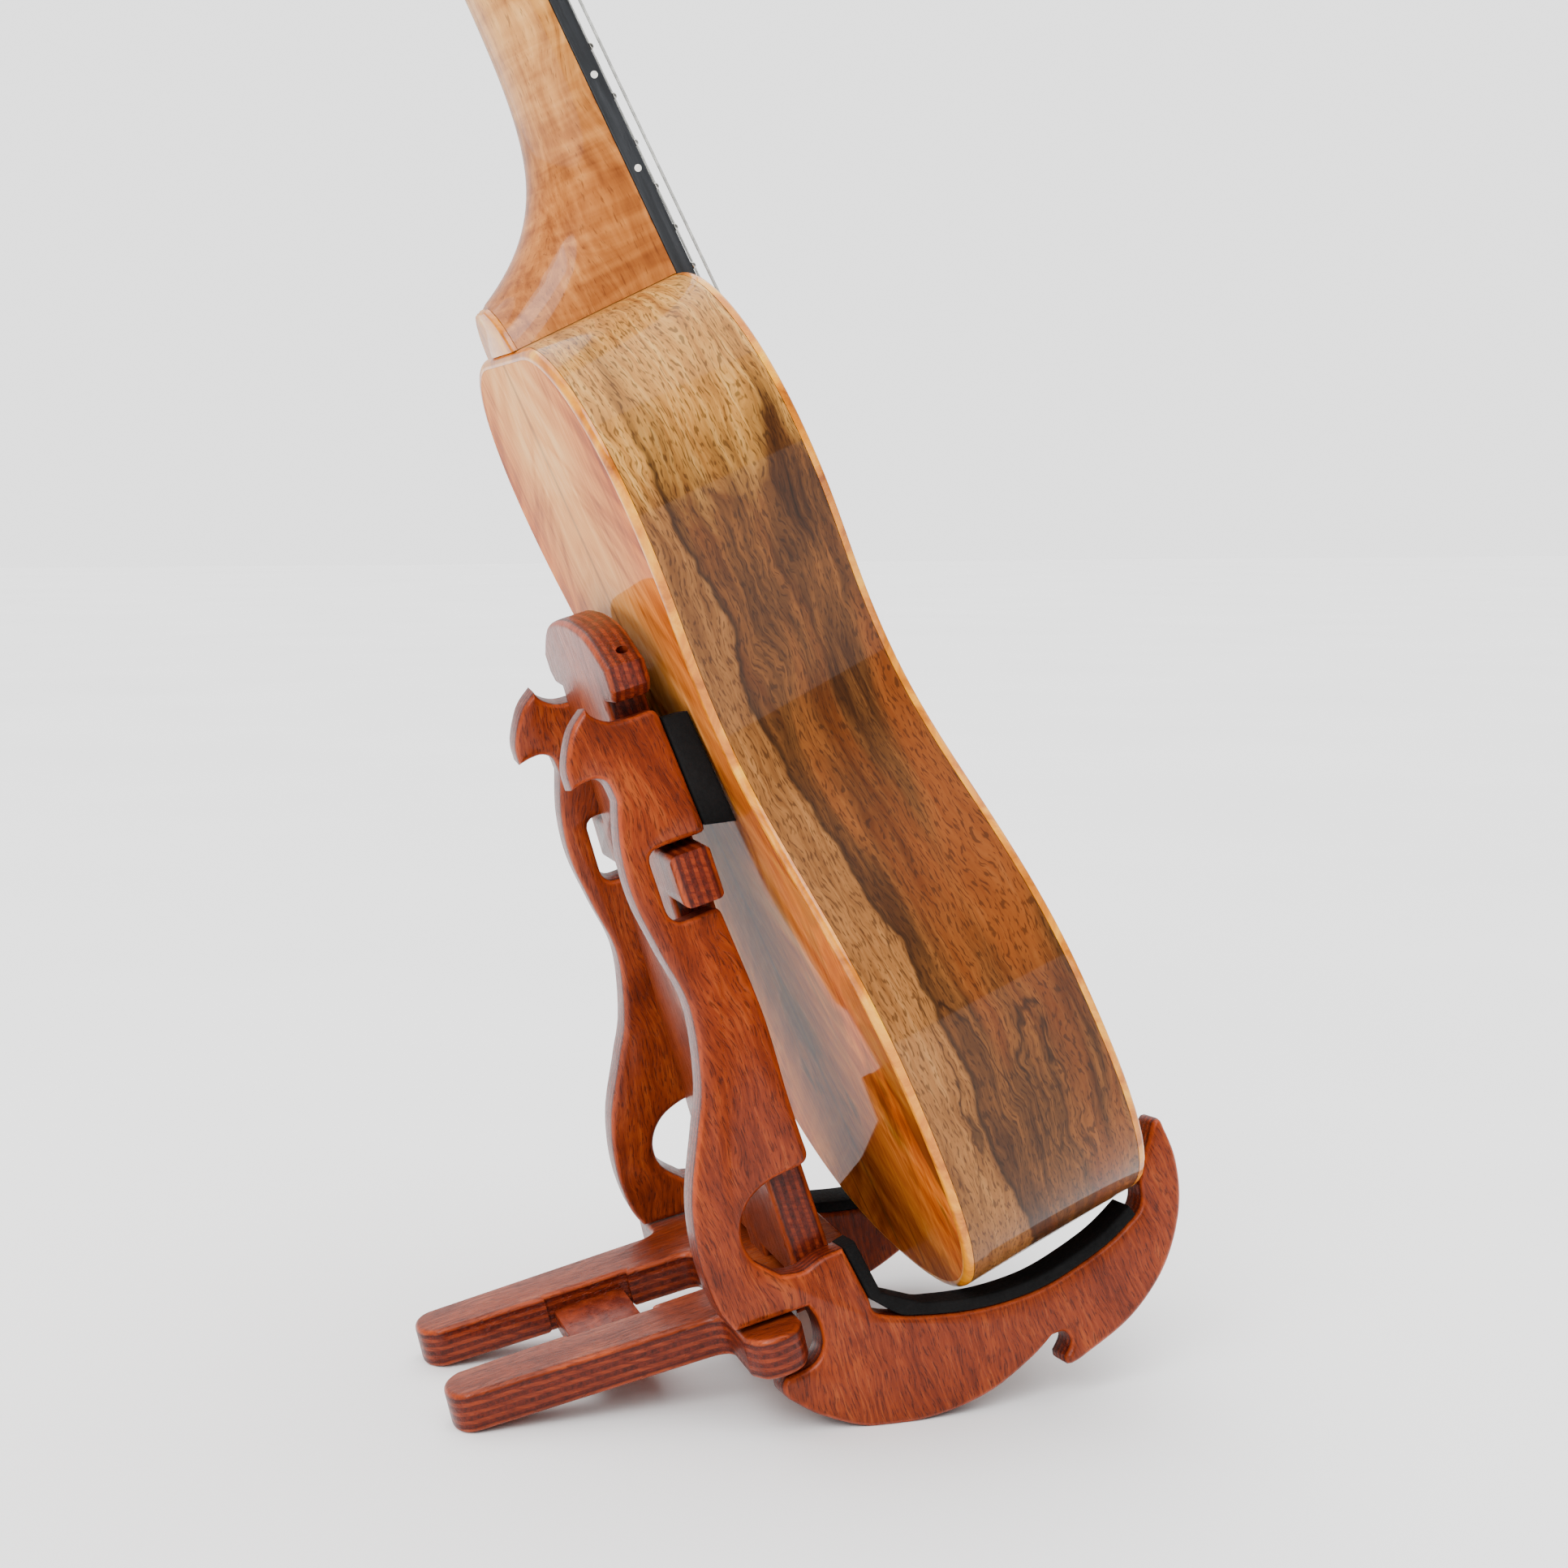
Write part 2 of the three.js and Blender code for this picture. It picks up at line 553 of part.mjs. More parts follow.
// ------------------------------------------------------------------------- ukulele, the neck
const fretAt = (n) => scaleLength * (1 - 2 ** (-n / 12));
const nutZ = bodyLength + fretAt(jointFret);
const boardHalf = (z) => mix(nutHalf, jointHalf, (nutZ - z) / (nutZ - bodyLength));
const heelDrop = 80; //  the heel swells below the shaft and fades out over heelFade
const heelFade = 16.5;
const neckDeep = (z) => neckThick + heelDrop * Math.exp((bodyLength - z) / heelFade);
const neckStations = [
  0, 4, 8, heelLong - 1, heelLong + 3, 20, 25, 31, 38, 48, 62, 90, 140, 190,
  nutZ - bodyLength - 8, nutZ - bodyLength + nutThick,
];
const neckRings = neckStations.map((up) => {
  const z = bodyLength + glue + up;
  return Array.from({ length: 15 }, (_, k) => {
    const turn = (k / 14) * Math.PI;
    return [-neckDeep(z) * Math.sin(turn) ** 0.9, boardHalf(z) * Math.cos(turn), z];
  });
});
const neckSkin = solidOf(loft(neckRings));
const capTop = -neckDepth + capThick;
const heelSlab = box(capThick, 60, 60).translate([capTop - capThick / 2, 0, bodyLength + 30]);

const headZ = nutZ + nutThick;
const [headFoot, headWide, headCrown] = headstockHalf;
function headstockShape() {
  const s = new THREE.Shape();
  s.moveTo(-headFoot + 1.6, 0);
  s.lineTo(headFoot - 1.6, 0);
  s.splineThru(vectors([
    [headFoot, 6], [headWide - 3, 17], [headWide, 28], [headWide - 1, 60],
    [headCrown, headstockLong - 6],
  ]));
  s.splineThru(vectors([
    [headCrown - 5, headstockLong - 2.5], [0, headstockLong], [5 - headCrown, headstockLong - 2.5],
    [-headCrown, headstockLong - 6],
  ]));
  s.splineThru(vectors([
    [1 - headWide, 60], [-headWide, 28], [3 - headWide, 17], [-headFoot, 6],
    [-headFoot + 1.6, 0],
  ]));
  return s;
}
const headPlace = new THREE.Matrix4().makeRotationY(-rad(headstockTilt)).setPosition(0, 0, headZ);
const headBoard = solidOf(board(headstockShape(), headstockThick, faceOn, 3))
  .translate([-headstockThick, 0, 0]);
const tuners = [1, 2, 3, 4].map((n) => ({
  n,
  side: n < 3 ? -1 : 1,
  z: n === 1 || n === 4 ? tunerAt[0] : tunerAt[1],
}));
const postHole = (t) => Manifold.cylinder(40, postRadius + boreGap, postRadius + boreGap, 20)
  .rotate([0, 90, 0]).translate([-20, t.side * tunerOut, t.z]);
const headSolid = tuners.reduce((solid, t) => solid.subtract(postHole(t)), headBoard)
  .transform(headPlace.elements);
const neckSolid = neckSkin.trimByPlane([1, 0, 0], capTop + glue).add(headSolid)
  .trimByPlane([0, 0, 1], bodyLength + glue);
add(ukulele, 'neck', neckSolid, mahogany);
add(ukulele, 'heel_cap', neckSkin.intersect(heelSlab), ebony);

const boardEnd = nutZ - fretAt(fretCount) - 5;
const boardTop = glue + boardThick;
add(ukulele, 'fretboard', board(shapeOf([
  [-boardHalf(boardEnd), boardEnd], [boardHalf(boardEnd), boardEnd], [nutHalf, nutZ],
  [-nutHalf, nutZ],
]), boardThick, faceOn).translate(glue, 0, 0), ebony);

for (let n = 1; n <= fretCount; n += 1) {
  const z = nutZ - fretAt(n);
  const crown = new THREE.Shape();
  crown.absarc(0, 0, fretRadius, 0, Math.PI, false);
  const wire = board(crown, 2 * boardHalf(z) - 0.6, [axisZ, axisX, axisY], 4)
    .translate(boardTop + glue / 3, 0.3 - boardHalf(z), z);
  add(ukulele, `fret_${String(n).padStart(2, '0')}`, wire, nickel);
}

const stringAtNut = boardTop + action;
const nutHigh = stringAtNut - stringRadius - glue;
const nutBlock = box(nutHigh - glue, 2 * nutHalf, nutThick - 2 * glue)
  .translate([(nutHigh + glue) / 2, 0, nutZ + nutThick / 2]);
add(ukulele, 'nut', nutBlock, bone);

// ------------------------------------------------------------------ ukulele, bridge and strings
const saddleZ = nutZ - scaleLength;
const saddleHalf = 2 * stringSpread[1] * 1.5 + 9;
const saddleWide = 2.8;
const slotDeep = 3.6;
const bridgeProfile = () => {
  const back = -bridgeWide * 0.64;
  const front = bridgeWide * 0.36;
  const slot = saddleWide / 2 + glue;
  return shapeOf([
    [back, glue], [front, glue], [front, bridgeThick * 0.45], [front - 4, bridgeThick * 0.8],
    [slot, bridgeThick], [slot, bridgeThick - slotDeep], [-slot, bridgeThick - slotDeep],
    [-slot, bridgeThick], [-4, bridgeThick * 0.72], [-6, bridgeThick * 0.72],
    [-7, bridgeThick], [back, bridgeThick],
  ]);
};
const bridge = board(bridgeProfile(), bridgeLong, [axisZ, axisX, axisY])
  .translate(0, -bridgeLong / 2, saddleZ);
add(ukulele, 'bridge', bridge, ebony);
const saddleFoot = bridgeThick - slotDeep + glue;
const saddleHigh = saddleRise - stringRadius - glue;
add(ukulele, 'saddle', box(saddleHigh - saddleFoot, 2 * saddleHalf, saddleWide)
  .translate([(saddleHigh + saddleFoot) / 2, 0, saddleZ]), bone);

// a round cord along straight runs that lie nearly in the X-Z plane
function cord(points, radius) {
  const line = points.map((p) => new THREE.Vector3(...p));
  const rings = line.map((p, i) => {
    const before = line[Math.max(i - 1, 0)];
    const after = line[Math.min(i + 1, line.length - 1)];
    const run = after.clone().sub(before).normalize();
    const across = axisY.clone().addScaledVector(run, -run.y).normalize();
    const lift = run.clone().cross(across);
    return Array.from({ length: 6 }, (_, k) => {
      const turn = (k / 6) * 2 * Math.PI;
      const at = p.clone().addScaledVector(across, radius * Math.cos(turn))
        .addScaledVector(lift, radius * Math.sin(turn));
      return at.toArray();
    });
  });
  return loft(rings);
}
const inHead = (x, y, z) => new THREE.Vector3(x, y, z).applyMatrix4(headPlace).toArray();
const windHeight = 8; //   where the string meets its post above the headstock
const windRadius = 3.9;
for (const t of tuners) {
  const place = t.n - 2.5;
  const y0 = place * 2 * stringSpread[0];
  const y1 = place * 2 * stringSpread[1];
  const postSide = t.side * (tunerOut - windRadius - stringRadius - boreGap);
  add(ukulele, `string_${t.n}`, cord([
    inHead(windHeight, postSide, t.z),
    [stringAtNut, y0, nutZ + nutThick - 0.6],
    [stringAtNut, y0, nutZ + 0.4],
    [saddleRise, y1, saddleZ + 0.6],
    [saddleRise, y1, saddleZ - 1.2],
    [bridgeThick + stringRadius + 0.35, y1, saddleZ - 9],
  ], stringRadius), nylon);
}

// ------------------------------------------------------------------------- ukulele, tuners
const headstock = new THREE.Group();
headstock.name = 'headstock';
headstock.position.set(0, 0, headZ);
headstock.rotation.y = -rad(headstockTilt);
ukulele.add(headstock);

const housingSize = [9, 12, 17];
const wormRadius = 1.6;
const wormDown = 6.4; //   worm shaft below the post
const housingX = -headstockThick - glue - housingSize[0] / 2;
const turned = (profile, segments) => new THREE.LatheGeometry(
  profile.map(([r, h]) => new THREE.Vector2(r, h)),
  segments,
);
for (const t of tuners) {
  const centre = [housingX, t.side * tunerOut, t.z - 3];
  const shell = box(...housingSize).translate(centre);
  const postBore = Manifold.cylinder(12, postRadius + boreGap, postRadius + boreGap, 20)
    .rotate([0, 90, 0]).translate([housingX - 2.2, t.side * tunerOut, t.z]);
  const shaftBore = Manifold.cylinder(30, wormRadius + boreGap, wormRadius + boreGap, 16)
    .rotate([-90 * t.side, 0, 0])
    .translate([housingX, t.side * (tunerOut - 4), t.z - wormDown]);
  add(headstock, `tuner_housing_${t.n}`, shell.subtract(postBore).subtract(shaftBore), nickel);

  const post = turned([
    [0, housingX - 1.8], [postRadius, housingX - 1.8], [postRadius, 4], [2.5, 5],
    [windRadius, 6.4], [windRadius, windHeight + 1.6], [2.5, windHeight + 3],
    [postRadius, windHeight + 4], [postRadius, 15], [2.3, 16], [0, 16],
  ], 20);
  post.rotateZ(-Math.PI / 2);
  const postMesh = add(headstock, `tuner_post_${t.n}`, solidOf(post), nickel);
  postMesh.position.set(0, t.side * tunerOut, t.z);

  const start = tunerOut - 3.6;
  const knob = [
    [0, start], [wormRadius, start], [wormRadius, headWide + 3.5], [3.2, headWide + 4],
    [3.2, headWide + 5.5], [5.2, headWide + 7.5], [7.6, headWide + 12], [7.2, headWide + 16],
    [5, headWide + 18.5], [0, headWide + 19],
  ];
  const button = turned(knob, 20);
  if (t.side < 0) button.rotateZ(Math.PI);
  const buttonMesh = add(headstock, `tuner_button_${t.n}`, solidOf(button), pearl);
  buttonMesh.position.set(housingX, 0, t.z - wormDown);
}

// stand the whole on the table with its middle over the origin
const bounds = new THREE.Box3().setFromObject(group, true);
const middle = bounds.getCenter(new THREE.Vector3());
group.position.set(-middle.x, 0, -bounds.min.z);

export default group;
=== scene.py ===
import math

import bmesh
import bpy
from mathutils import Matrix, Vector


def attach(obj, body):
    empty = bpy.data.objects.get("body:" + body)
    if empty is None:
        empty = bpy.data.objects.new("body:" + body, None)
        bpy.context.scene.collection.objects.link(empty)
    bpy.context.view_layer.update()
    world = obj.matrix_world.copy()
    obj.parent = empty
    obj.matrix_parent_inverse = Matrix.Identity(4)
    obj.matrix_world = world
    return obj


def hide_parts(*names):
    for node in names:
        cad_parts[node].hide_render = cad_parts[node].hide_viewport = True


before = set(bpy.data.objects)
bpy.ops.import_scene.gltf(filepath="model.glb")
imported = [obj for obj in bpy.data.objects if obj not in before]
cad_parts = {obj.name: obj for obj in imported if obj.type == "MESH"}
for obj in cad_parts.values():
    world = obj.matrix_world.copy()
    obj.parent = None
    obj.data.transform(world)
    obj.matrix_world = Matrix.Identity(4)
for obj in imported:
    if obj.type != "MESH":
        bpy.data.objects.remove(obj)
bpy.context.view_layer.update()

# ------------------------------------------------------------------ side plates of the stand
# Two upright boards cut from 12 mm plywood with a red-brown stain and a semi-gloss lacquer.
# They lean towards each other at the top, and every sawn edge is rounded over by hand, so the
# plies show as stripes along it. The spine and the fork slot into their notches without glue.


def add_node(tree, kind, values, output=0, **settings):
    """A shader node in a tree: values are numbers for its sockets, or what feeds them."""
    made = tree.nodes.new("ShaderNode" + kind)
    for setting, value in settings.items():
        setattr(made, setting, value)
    for key, value in values.items():
        if isinstance(value, bpy.types.NodeSocket):
            tree.links.new(value, made.inputs[key])
        else:
            made.inputs[key].default_value = value
    return made.outputs[output]


class Finish:
    """A surface finish put together node by node, on one shader."""

    def __init__(self, name, **shader):
        self.material = bpy.data.materials.new(name)
        self.material.use_nodes = True
        self.tree = self.material.node_tree
        self.shader = self.tree.nodes["Principled BSDF"]
        for socket, value in shader.items():
            self.shader.inputs[socket.replace("_", " ")].default_value = value

    def node(self, kind, values, output=0, **settings):
        return add_node(self.tree, kind, values, output, **settings)

    def place(self):
        return self.node("TexCoord", {}, 3)

    def sum(self, operation, *values):
        return self.node("Math", dict(enumerate(values)), operation=operation)

    def times(self, a, b):
        return self.sum("MULTIPLY", a, b)

    def blend(self, a, share_a, b, share_b):
        return self.sum("ADD", self.times(a, share_a), self.times(b, share_b))

    def sway(self, noise, by, level):
        """The level, pushed to and fro by a noise."""
        return self.sum("MULTIPLY_ADD", self.sum("SUBTRACT", noise, 0.5), by, level)

    def vector(self, operation, a, b):
        return self.node("VectorMath", {0: a, 1: b}, operation=operation)

    def along(self, place, axis):
        return self.node("VectorMath", {0: place, 1: axis}, 1, operation="DOT_PRODUCT")

    def axes(self, start, *directions):
        """How far a spot lies from the start, along each of the directions."""
        place = self.vector("SUBTRACT", self.place(), start)
        return [self.along(place, direction) for direction in directions]

    def point(self, *values):
        return self.node("CombineXYZ", dict(enumerate(values)))

    def noise(self, place, scales, detail=4.0, roughness=0.55, distortion=0.0):
        """Noise with so many waves to the metre along each axis."""
        return self.node("TexNoise", {
            "Vector": self.vector("MULTIPLY", place, scales), "Scale": 1.0, "Detail": detail,
            "Roughness": roughness, "Distortion": distortion,
        })

    def spread(self, value, low, high, to_low=0.0, to_high=1.0):
        return self.node("MapRange", {0: value, 1: low, 2: high, 3: to_low, 4: to_high})

    def ramp(self, value, stops):
        made = self.tree.nodes.new("ShaderNodeValToRGB")
        while len(made.color_ramp.elements) < len(stops):
            made.color_ramp.elements.new(0.5)
        for element, (at, colour) in zip(made.color_ramp.elements, stops):
            element.position = at
            element.color = tint(colour)
        self.tree.links.new(value, made.inputs[0])
        return made.outputs[0]

    def mix(self, share, a, b, blend="MIX"):
        made = self.tree.nodes.new("ShaderNodeMix")
        made.data_type = "RGBA"
        made.blend_type = blend
        for key, value in ((0, share), (6, a), (7, b)):
            if isinstance(value, bpy.types.NodeSocket):
                self.tree.links.new(value, made.inputs[key])
            else:
                made.inputs[key].default_value = tint(value) if key else value
        return made.outputs[2]

    def over(self, base, cover, share, top):
        """The base colour, with the top colour laid over it where the cover is."""
        return self.mix(self.times(cover, share), base, top)

    def end(self, colour, roughness=None, height=None, depth=0.0002):
        self.tree.links.new(colour, self.shader.inputs["Base Color"])
        if roughness is not None:
            self.tree.links.new(roughness, self.shader.inputs["Roughness"])
        if height is not None:
            bump = self.node("Bump", {"Strength": 0.6, "Distance": depth, "Height": height})
            self.tree.links.new(bump, self.shader.inputs["Normal"])
        return self.material


LACQUER = 1.12  # how much deeper a colour looks under clear lacquer
BOARD = 0.012
PLIES = 9


def tint(colour):
    """Paint chart colour, 0 to 255, as the shader counts it, deepened as clear lacquer does."""
    return [(((c / 255 + 0.055) / 1.055) ** 2.4) ** LACQUER for c in colour] + [1]


def stained_ply(name, centre, across, grain):
    """Stained plywood: across is the board's thickness, grain runs along its face veneer."""
    side = Vector(across).cross(Vector(grain)).normalized()
    wood = Finish(name, Coat_Weight=0.16, Coat_Roughness=0.16, Specular_IOR_Level=0.14)
    place = wood.vector("SUBTRACT", wood.place(), centre)
    depth = wood.along(place, across)
    flow = wood.along(place, grain)
    beside = wood.along(place, side)
    local = wood.point(flow, beside, depth)

    # face veneer: long fibres, short dark pores and slow cloudy patches of stain
    drift = wood.noise(local, (16, 30, 16), 3, 0.5)
    bent = wood.point(flow, wood.sum("MULTIPLY_ADD", drift, 0.02, beside), depth)
    fibre = wood.noise(bent, (60, 900, 500), 6, 0.66, 0.3)
    cloud = wood.noise(local, (26, 52, 26), 4, 0.6, 0.8)
    figure = wood.blend(fibre, 0.54, cloud, 0.52)
    veneer = wood.ramp(figure, [
        (0.34, (80, 28, 9)), (0.47, (114, 45, 15)), (0.56, (136, 58, 22)), (0.70, (164, 84, 38)),
    ])
    dash = wood.noise(bent, (300, 2600, 1300), 2, 0.5)
    pore = wood.spread(dash, 0.55, 0.64)
    veneer = wood.over(veneer, pore, 0.62, (50, 16, 8))

    # sawn edge: nine plies, long grain and end grain by turns, with a dark glue line between
    wander = wood.noise(place, (90, 90, 90), 3, 0.5)
    level = wood.sway(wander, 0.0006, depth)
    turn = wood.times(level, math.pi * PLIES / BOARD)
    swing = wood.sum("COSINE", turn)
    plies = wood.spread(swing, -0.45, 0.45)
    glue_line = wood.spread(wood.sum("ABSOLUTE", swing), 0.32, 0.05)
    endgrain = wood.noise(place, (700, 700, 700), 3, 0.7)
    streak = wood.noise(place, (130, 130, 900), 4, 0.6, 0.4)
    cut = wood.mix(
        plies,
        wood.ramp(endgrain, [(0.35, (66, 20, 10)), (0.65, (108, 38, 19))]),
        wood.ramp(streak, [(0.35, (98, 33, 15)), (0.65, (142, 60, 28))]),
    )
    cut = wood.over(cut, glue_line, 0.5, (44, 12, 6))
    out = wood.sum("ABSOLUTE", level)
    skin = wood.spread(out, BOARD / 2 - 0.00175, BOARD / 2 - 0.0013)
    colour = wood.mix(skin, cut, veneer)

    # the round-over: rubbed stain and a painted highlight on its crest, stain gathered in a dark
    # line beside it
    crest = wood.times(wood.spread(out, BOARD / 2 - 0.0014, BOARD / 2 - 0.0009),
                       wood.spread(out, BOARD / 2 - 0.0001, BOARD / 2 - 0.0004))
    # the paler crest is partly stain rubbed thin and partly a painted highlight
    rubbed_and_highlit = wood.times(crest, wood.spread(cloud, 0.35, 0.62, 0.1, 0.6))
    colour = wood.mix(rubbed_and_highlit, colour, (184, 84, 42))
    rim = wood.times(wood.spread(out, BOARD / 2 - 0.0022, BOARD / 2 - 0.0019),
                     wood.spread(out, BOARD / 2 - 0.0014, BOARD / 2 - 0.0017))
    colour = wood.over(colour, rim, 0.7, (66, 14, 7))
    rough = wood.spread(fibre, 0.3, 0.7, 0.46, 0.30)
    height = wood.blend(fibre, 0.5, pore, -0.8)
    return wood.end(colour, rough, height, 0.00025)


def cover(piece, material):
    piece.data.materials.clear()
    piece.data.materials.append(material)
    return piece


def put_in(name, data):
    """An object in the scene, made from its mesh, light or camera."""
    made = bpy.data.objects.new(name, data)
    bpy.context.scene.collection.objects.link(made)
    return made


def finish_mesh(mesh, sharp):
    shell = bmesh.new()
    shell.from_mesh(mesh)
    bmesh.ops.remove_doubles(shell, verts=shell.verts, dist=2e-6)
    bmesh.ops.dissolve_degenerate(shell, edges=shell.edges, dist=2e-6)
    bmesh.ops.recalc_face_normals(shell, faces=shell.faces)
    shell.to_mesh(mesh)
    shell.free()
    mesh.shade_smooth()
    mesh.set_sharp_from_angle(angle=math.radians(sharp))


def piece_of(name, points, faces, sharp=32, marks=None):
    mesh = bpy.data.meshes.new(name)
    mesh.from_pydata([tuple(p) for p in points], [], faces)
    if marks:
        marked = mesh.attributes.new("bend", "FLOAT_VECTOR", "POINT")
        marked.data.foreach_set("vector", [c for mark in marks for c in mark])
    finish_mesh(mesh, sharp)
    return put_in(name, mesh)


def skin_over(name, rings, sharp=32, marks=None, hoop=False):
    """A mesh drawn over rings of points: with flat ends, or joined to its start as a hoop is."""
    count, total = len(rings[0]), len(rings)
    faces = [
        (r * count + k, r * count + (k + 1) % count,
         (r + 1) % total * count + (k + 1) % count, (r + 1) % total * count + k)
        for r in range(total if hoop else total - 1) for k in range(count)
    ]
    if not hoop:
        faces.append(tuple(range(count - 1, -1, -1)))
        faces.append(tuple((total - 1) * count + k for k in range(count)))
    return piece_of(name, [p for ring in rings for p in ring], faces, sharp, marks)


def face_outline(node, across, run, rise):
    """The sawn line of a board: the rim of its flat face, as (run, rise) points, and its level."""
    shell = bmesh.new()
    shell.from_mesh(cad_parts[node].data)
    bmesh.ops.remove_doubles(shell, verts=shell.verts, dist=2e-5)
    top = max(across.dot(v.co) for v in shell.verts)
    on_face = {f for f in shell.faces if all(abs(across.dot(v.co) - top) < 3e-5 for v in f.verts)}
    rim = {}
    for face in on_face:
        for loop in face.loops:
            if sum(other in on_face for other in loop.edge.link_faces) == 1:
                rim[loop.vert] = loop.link_loop_next.vert
    start = min(rim, key=lambda v: v.co.z)
    line, here = [], start
    while True:
        line.append((run.dot(here.co), rise.dot(here.co)))
        here = rim[here]
        if here is start:
            break
    shell.free()
    return line, top


def turn_at(before, here, after):
    first = math.atan2(here[1] - before[1], here[0] - before[0])
    second = math.atan2(after[1] - here[1], after[0] - here[0])
    return (second - first + math.pi) % (2 * math.pi) - math.pi


def fair(line, corner=34, longest=0.0012, least=0.0002):
    """The same line, its gentle bends drawn as true curves and its corners left sharp."""
    kept = [line[0]]
    for point in line[1:]:
        if math.dist(point, kept[-1]) > least and math.dist(point, line[0]) > least:
            kept.append(point)
    count = len(kept)
    sharp = [abs(turn_at(kept[k - 1], kept[k], kept[(k + 1) % count])) > math.radians(corner)
             for k in range(count)]
    drawn = []
    for k in range(count):
        a, b, c, d = (kept[(k + n) % count] for n in (-1, 0, 1, 2))
        length = math.dist(b, c)
        straight = length > 0.012
        start = None if sharp[k] or straight else [(c[i] - a[i]) for i in (0, 1)]
        end = None if sharp[(k + 1) % count] or straight else [(d[i] - b[i]) for i in (0, 1)]
        chord = [(c[i] - b[i]) for i in (0, 1)]
        start = chord if start is None else [v / math.hypot(*start) * length for v in start]
        end = chord if end is None else [v / math.hypot(*end) * length for v in end]
        steps = max(1, math.ceil(length / longest))
        for n in range(steps):
            t = n / steps
            weights = (2 * t ** 3 - 3 * t * t + 1, t ** 3 - 2 * t * t + t,
                       3 * t * t - 2 * t ** 3, t ** 3 - t * t)
            drawn.append(tuple(
                weights[0] * b[i] + weights[1] * start[i] + weights[2] * c[i] + weights[3] * end[i]
                for i in (0, 1)))
    return drawn


def set_in(line, by):
    """The line set in by a distance, with what would cross itself drawn together."""
    count = len(line)
    area = sum(a[0] * b[1] - b[0] * a[1] for a, b in zip(line, line[1:] + line[:1]))
    hand = 1 if area > 0 else -1
    moved = []
    for k, here in enumerate(line):
        before, after = line[k - 1], line[(k + 1) % count]
        normals = []
        for a, b in ((before, here), (here, after)):
            length = math.dist(a, b) or 1
            normals.append((-(b[1] - a[1]) / length * hand, (b[0] - a[0]) / length * hand))
        middle = [normals[0][i] + normals[1][i] for i in (0, 1)]
        size = max(math.hypot(*middle), 0.7)
        reach = by * 2 / size / size
        moved.append((here[0] + middle[0] * reach, here[1] + middle[1] * reach))
    good = []
    for k, point in enumerate(moved):
        near = 1.0
        for a, b in zip(line, line[1:] + line[:1]):
            if abs(a[0] - point[0]) > 0.02 or abs(a[1] - point[1]) > 0.02:
                continue
            run = (b[0] - a[0], b[1] - a[1])
            size = run[0] ** 2 + run[1] ** 2 or 1e-12
            share = ((point[0] - a[0]) * run[0] + (point[1] - a[1]) * run[1]) / size
            share = min(max(share, 0), 1)
            near = min(near, math.dist(point, (a[0] + run[0] * share, a[1] + run[1] * share)))
        good.append(near > by * 0.985)
    held = list(moved)
    for k in range(count):
        if not good[k]:
            back, on = 1, 1
            while not good[(k - back) % count]:
                back += 1
            while not good[(k + on) % count]:
                on += 1
            a, b = moved[(k - back) % count], moved[(k + on) % count]
            held[k] = ((a[0] + b[0]) / 2, (a[1] + b[1]) / 2)
    return held


def sawn_board(name, line, low, thick, rounded, lift, steps=4):
    """A board sawn to a line, both rims rounded over: lift(run, rise, level) places a point."""
    section = []
    for k in range(steps + 1):
        turn = math.pi / 2 * k / steps
        section.append((rounded * (1 - math.sin(turn)), rounded * (1 - math.cos(turn))))
    section += [(by, thick - level) for by, level in reversed(section)]
    lines = {by: set_in(line, by) if by > 1e-6 else line for by, level in section}
    rings = [[lift(u, v, low + level) for u, v in lines[by]] for by, level in section]
    return skin_over(name, rings, 40)


SPLAY = math.radians(6.06)
AHEAD = Vector((1, 0, 0))


def stood_up(across, run, rise):
    def lift(u, v, level):
        point = across * level + run * u + rise * v
        point.z = max(point.z, 0.0)
        return point
    return lift


def plate_ways(side):
    """Square out of a side plate, and up along it."""
    return (Vector((0, side * math.cos(SPLAY), math.sin(SPLAY))),
            Vector((0, -side * math.sin(SPLAY), math.cos(SPLAY))))


def mount(piece, body, material, slot, *nodes):
    """The piece takes its finish and moves with its body, in place of the nodes named."""
    cover(piece, material)
    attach(piece, body)
    if nodes:
        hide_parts(*nodes)
    return piece


for side, name in ((-1, "right"), (1, "left")):
    node = "side_plate_" + name
    outward, upward = plate_ways(side)
    line, level = face_outline(node, outward, AHEAD, upward)
    plate = sawn_board("sawn_plate_" + name, fair(line), level - BOARD, BOARD, 0.0019,
                       stood_up(outward, AHEAD, upward))
    grain = (upward * 0.93 + AHEAD * (-0.37 if side < 0 else -0.2)).normalized()
    look = stained_ply("stained_ply_" + node, outward * (level - BOARD / 2), outward, grain)
    mount(plate, "stand", look, "stand_plywood", node)

# --------------------------------------------------------------------- spine board and fork
# The spine stands between the plates: its ears pass through their notches, its rounded head
# rests on their tops, and its tenon drops into the fork. The fork's two prongs reach back
# along the table and its nose ears lock under the plates. Same plywood, same finish.

SPINE_LEAN = math.radians(17.15)
spine_face = Vector((math.cos(SPINE_LEAN), 0, math.sin(SPINE_LEAN)))
spine_up = Vector((-math.sin(SPINE_LEAN), 0, math.cos(SPINE_LEAN)))
sideways = Vector((0, 1, 0))
line, level = face_outline("spine_board", spine_face, sideways, spine_up)
spine = sawn_board("sawn_spine", fair(line), level - BOARD, BOARD, 0.0021,
                   stood_up(spine_face, sideways, spine_up))


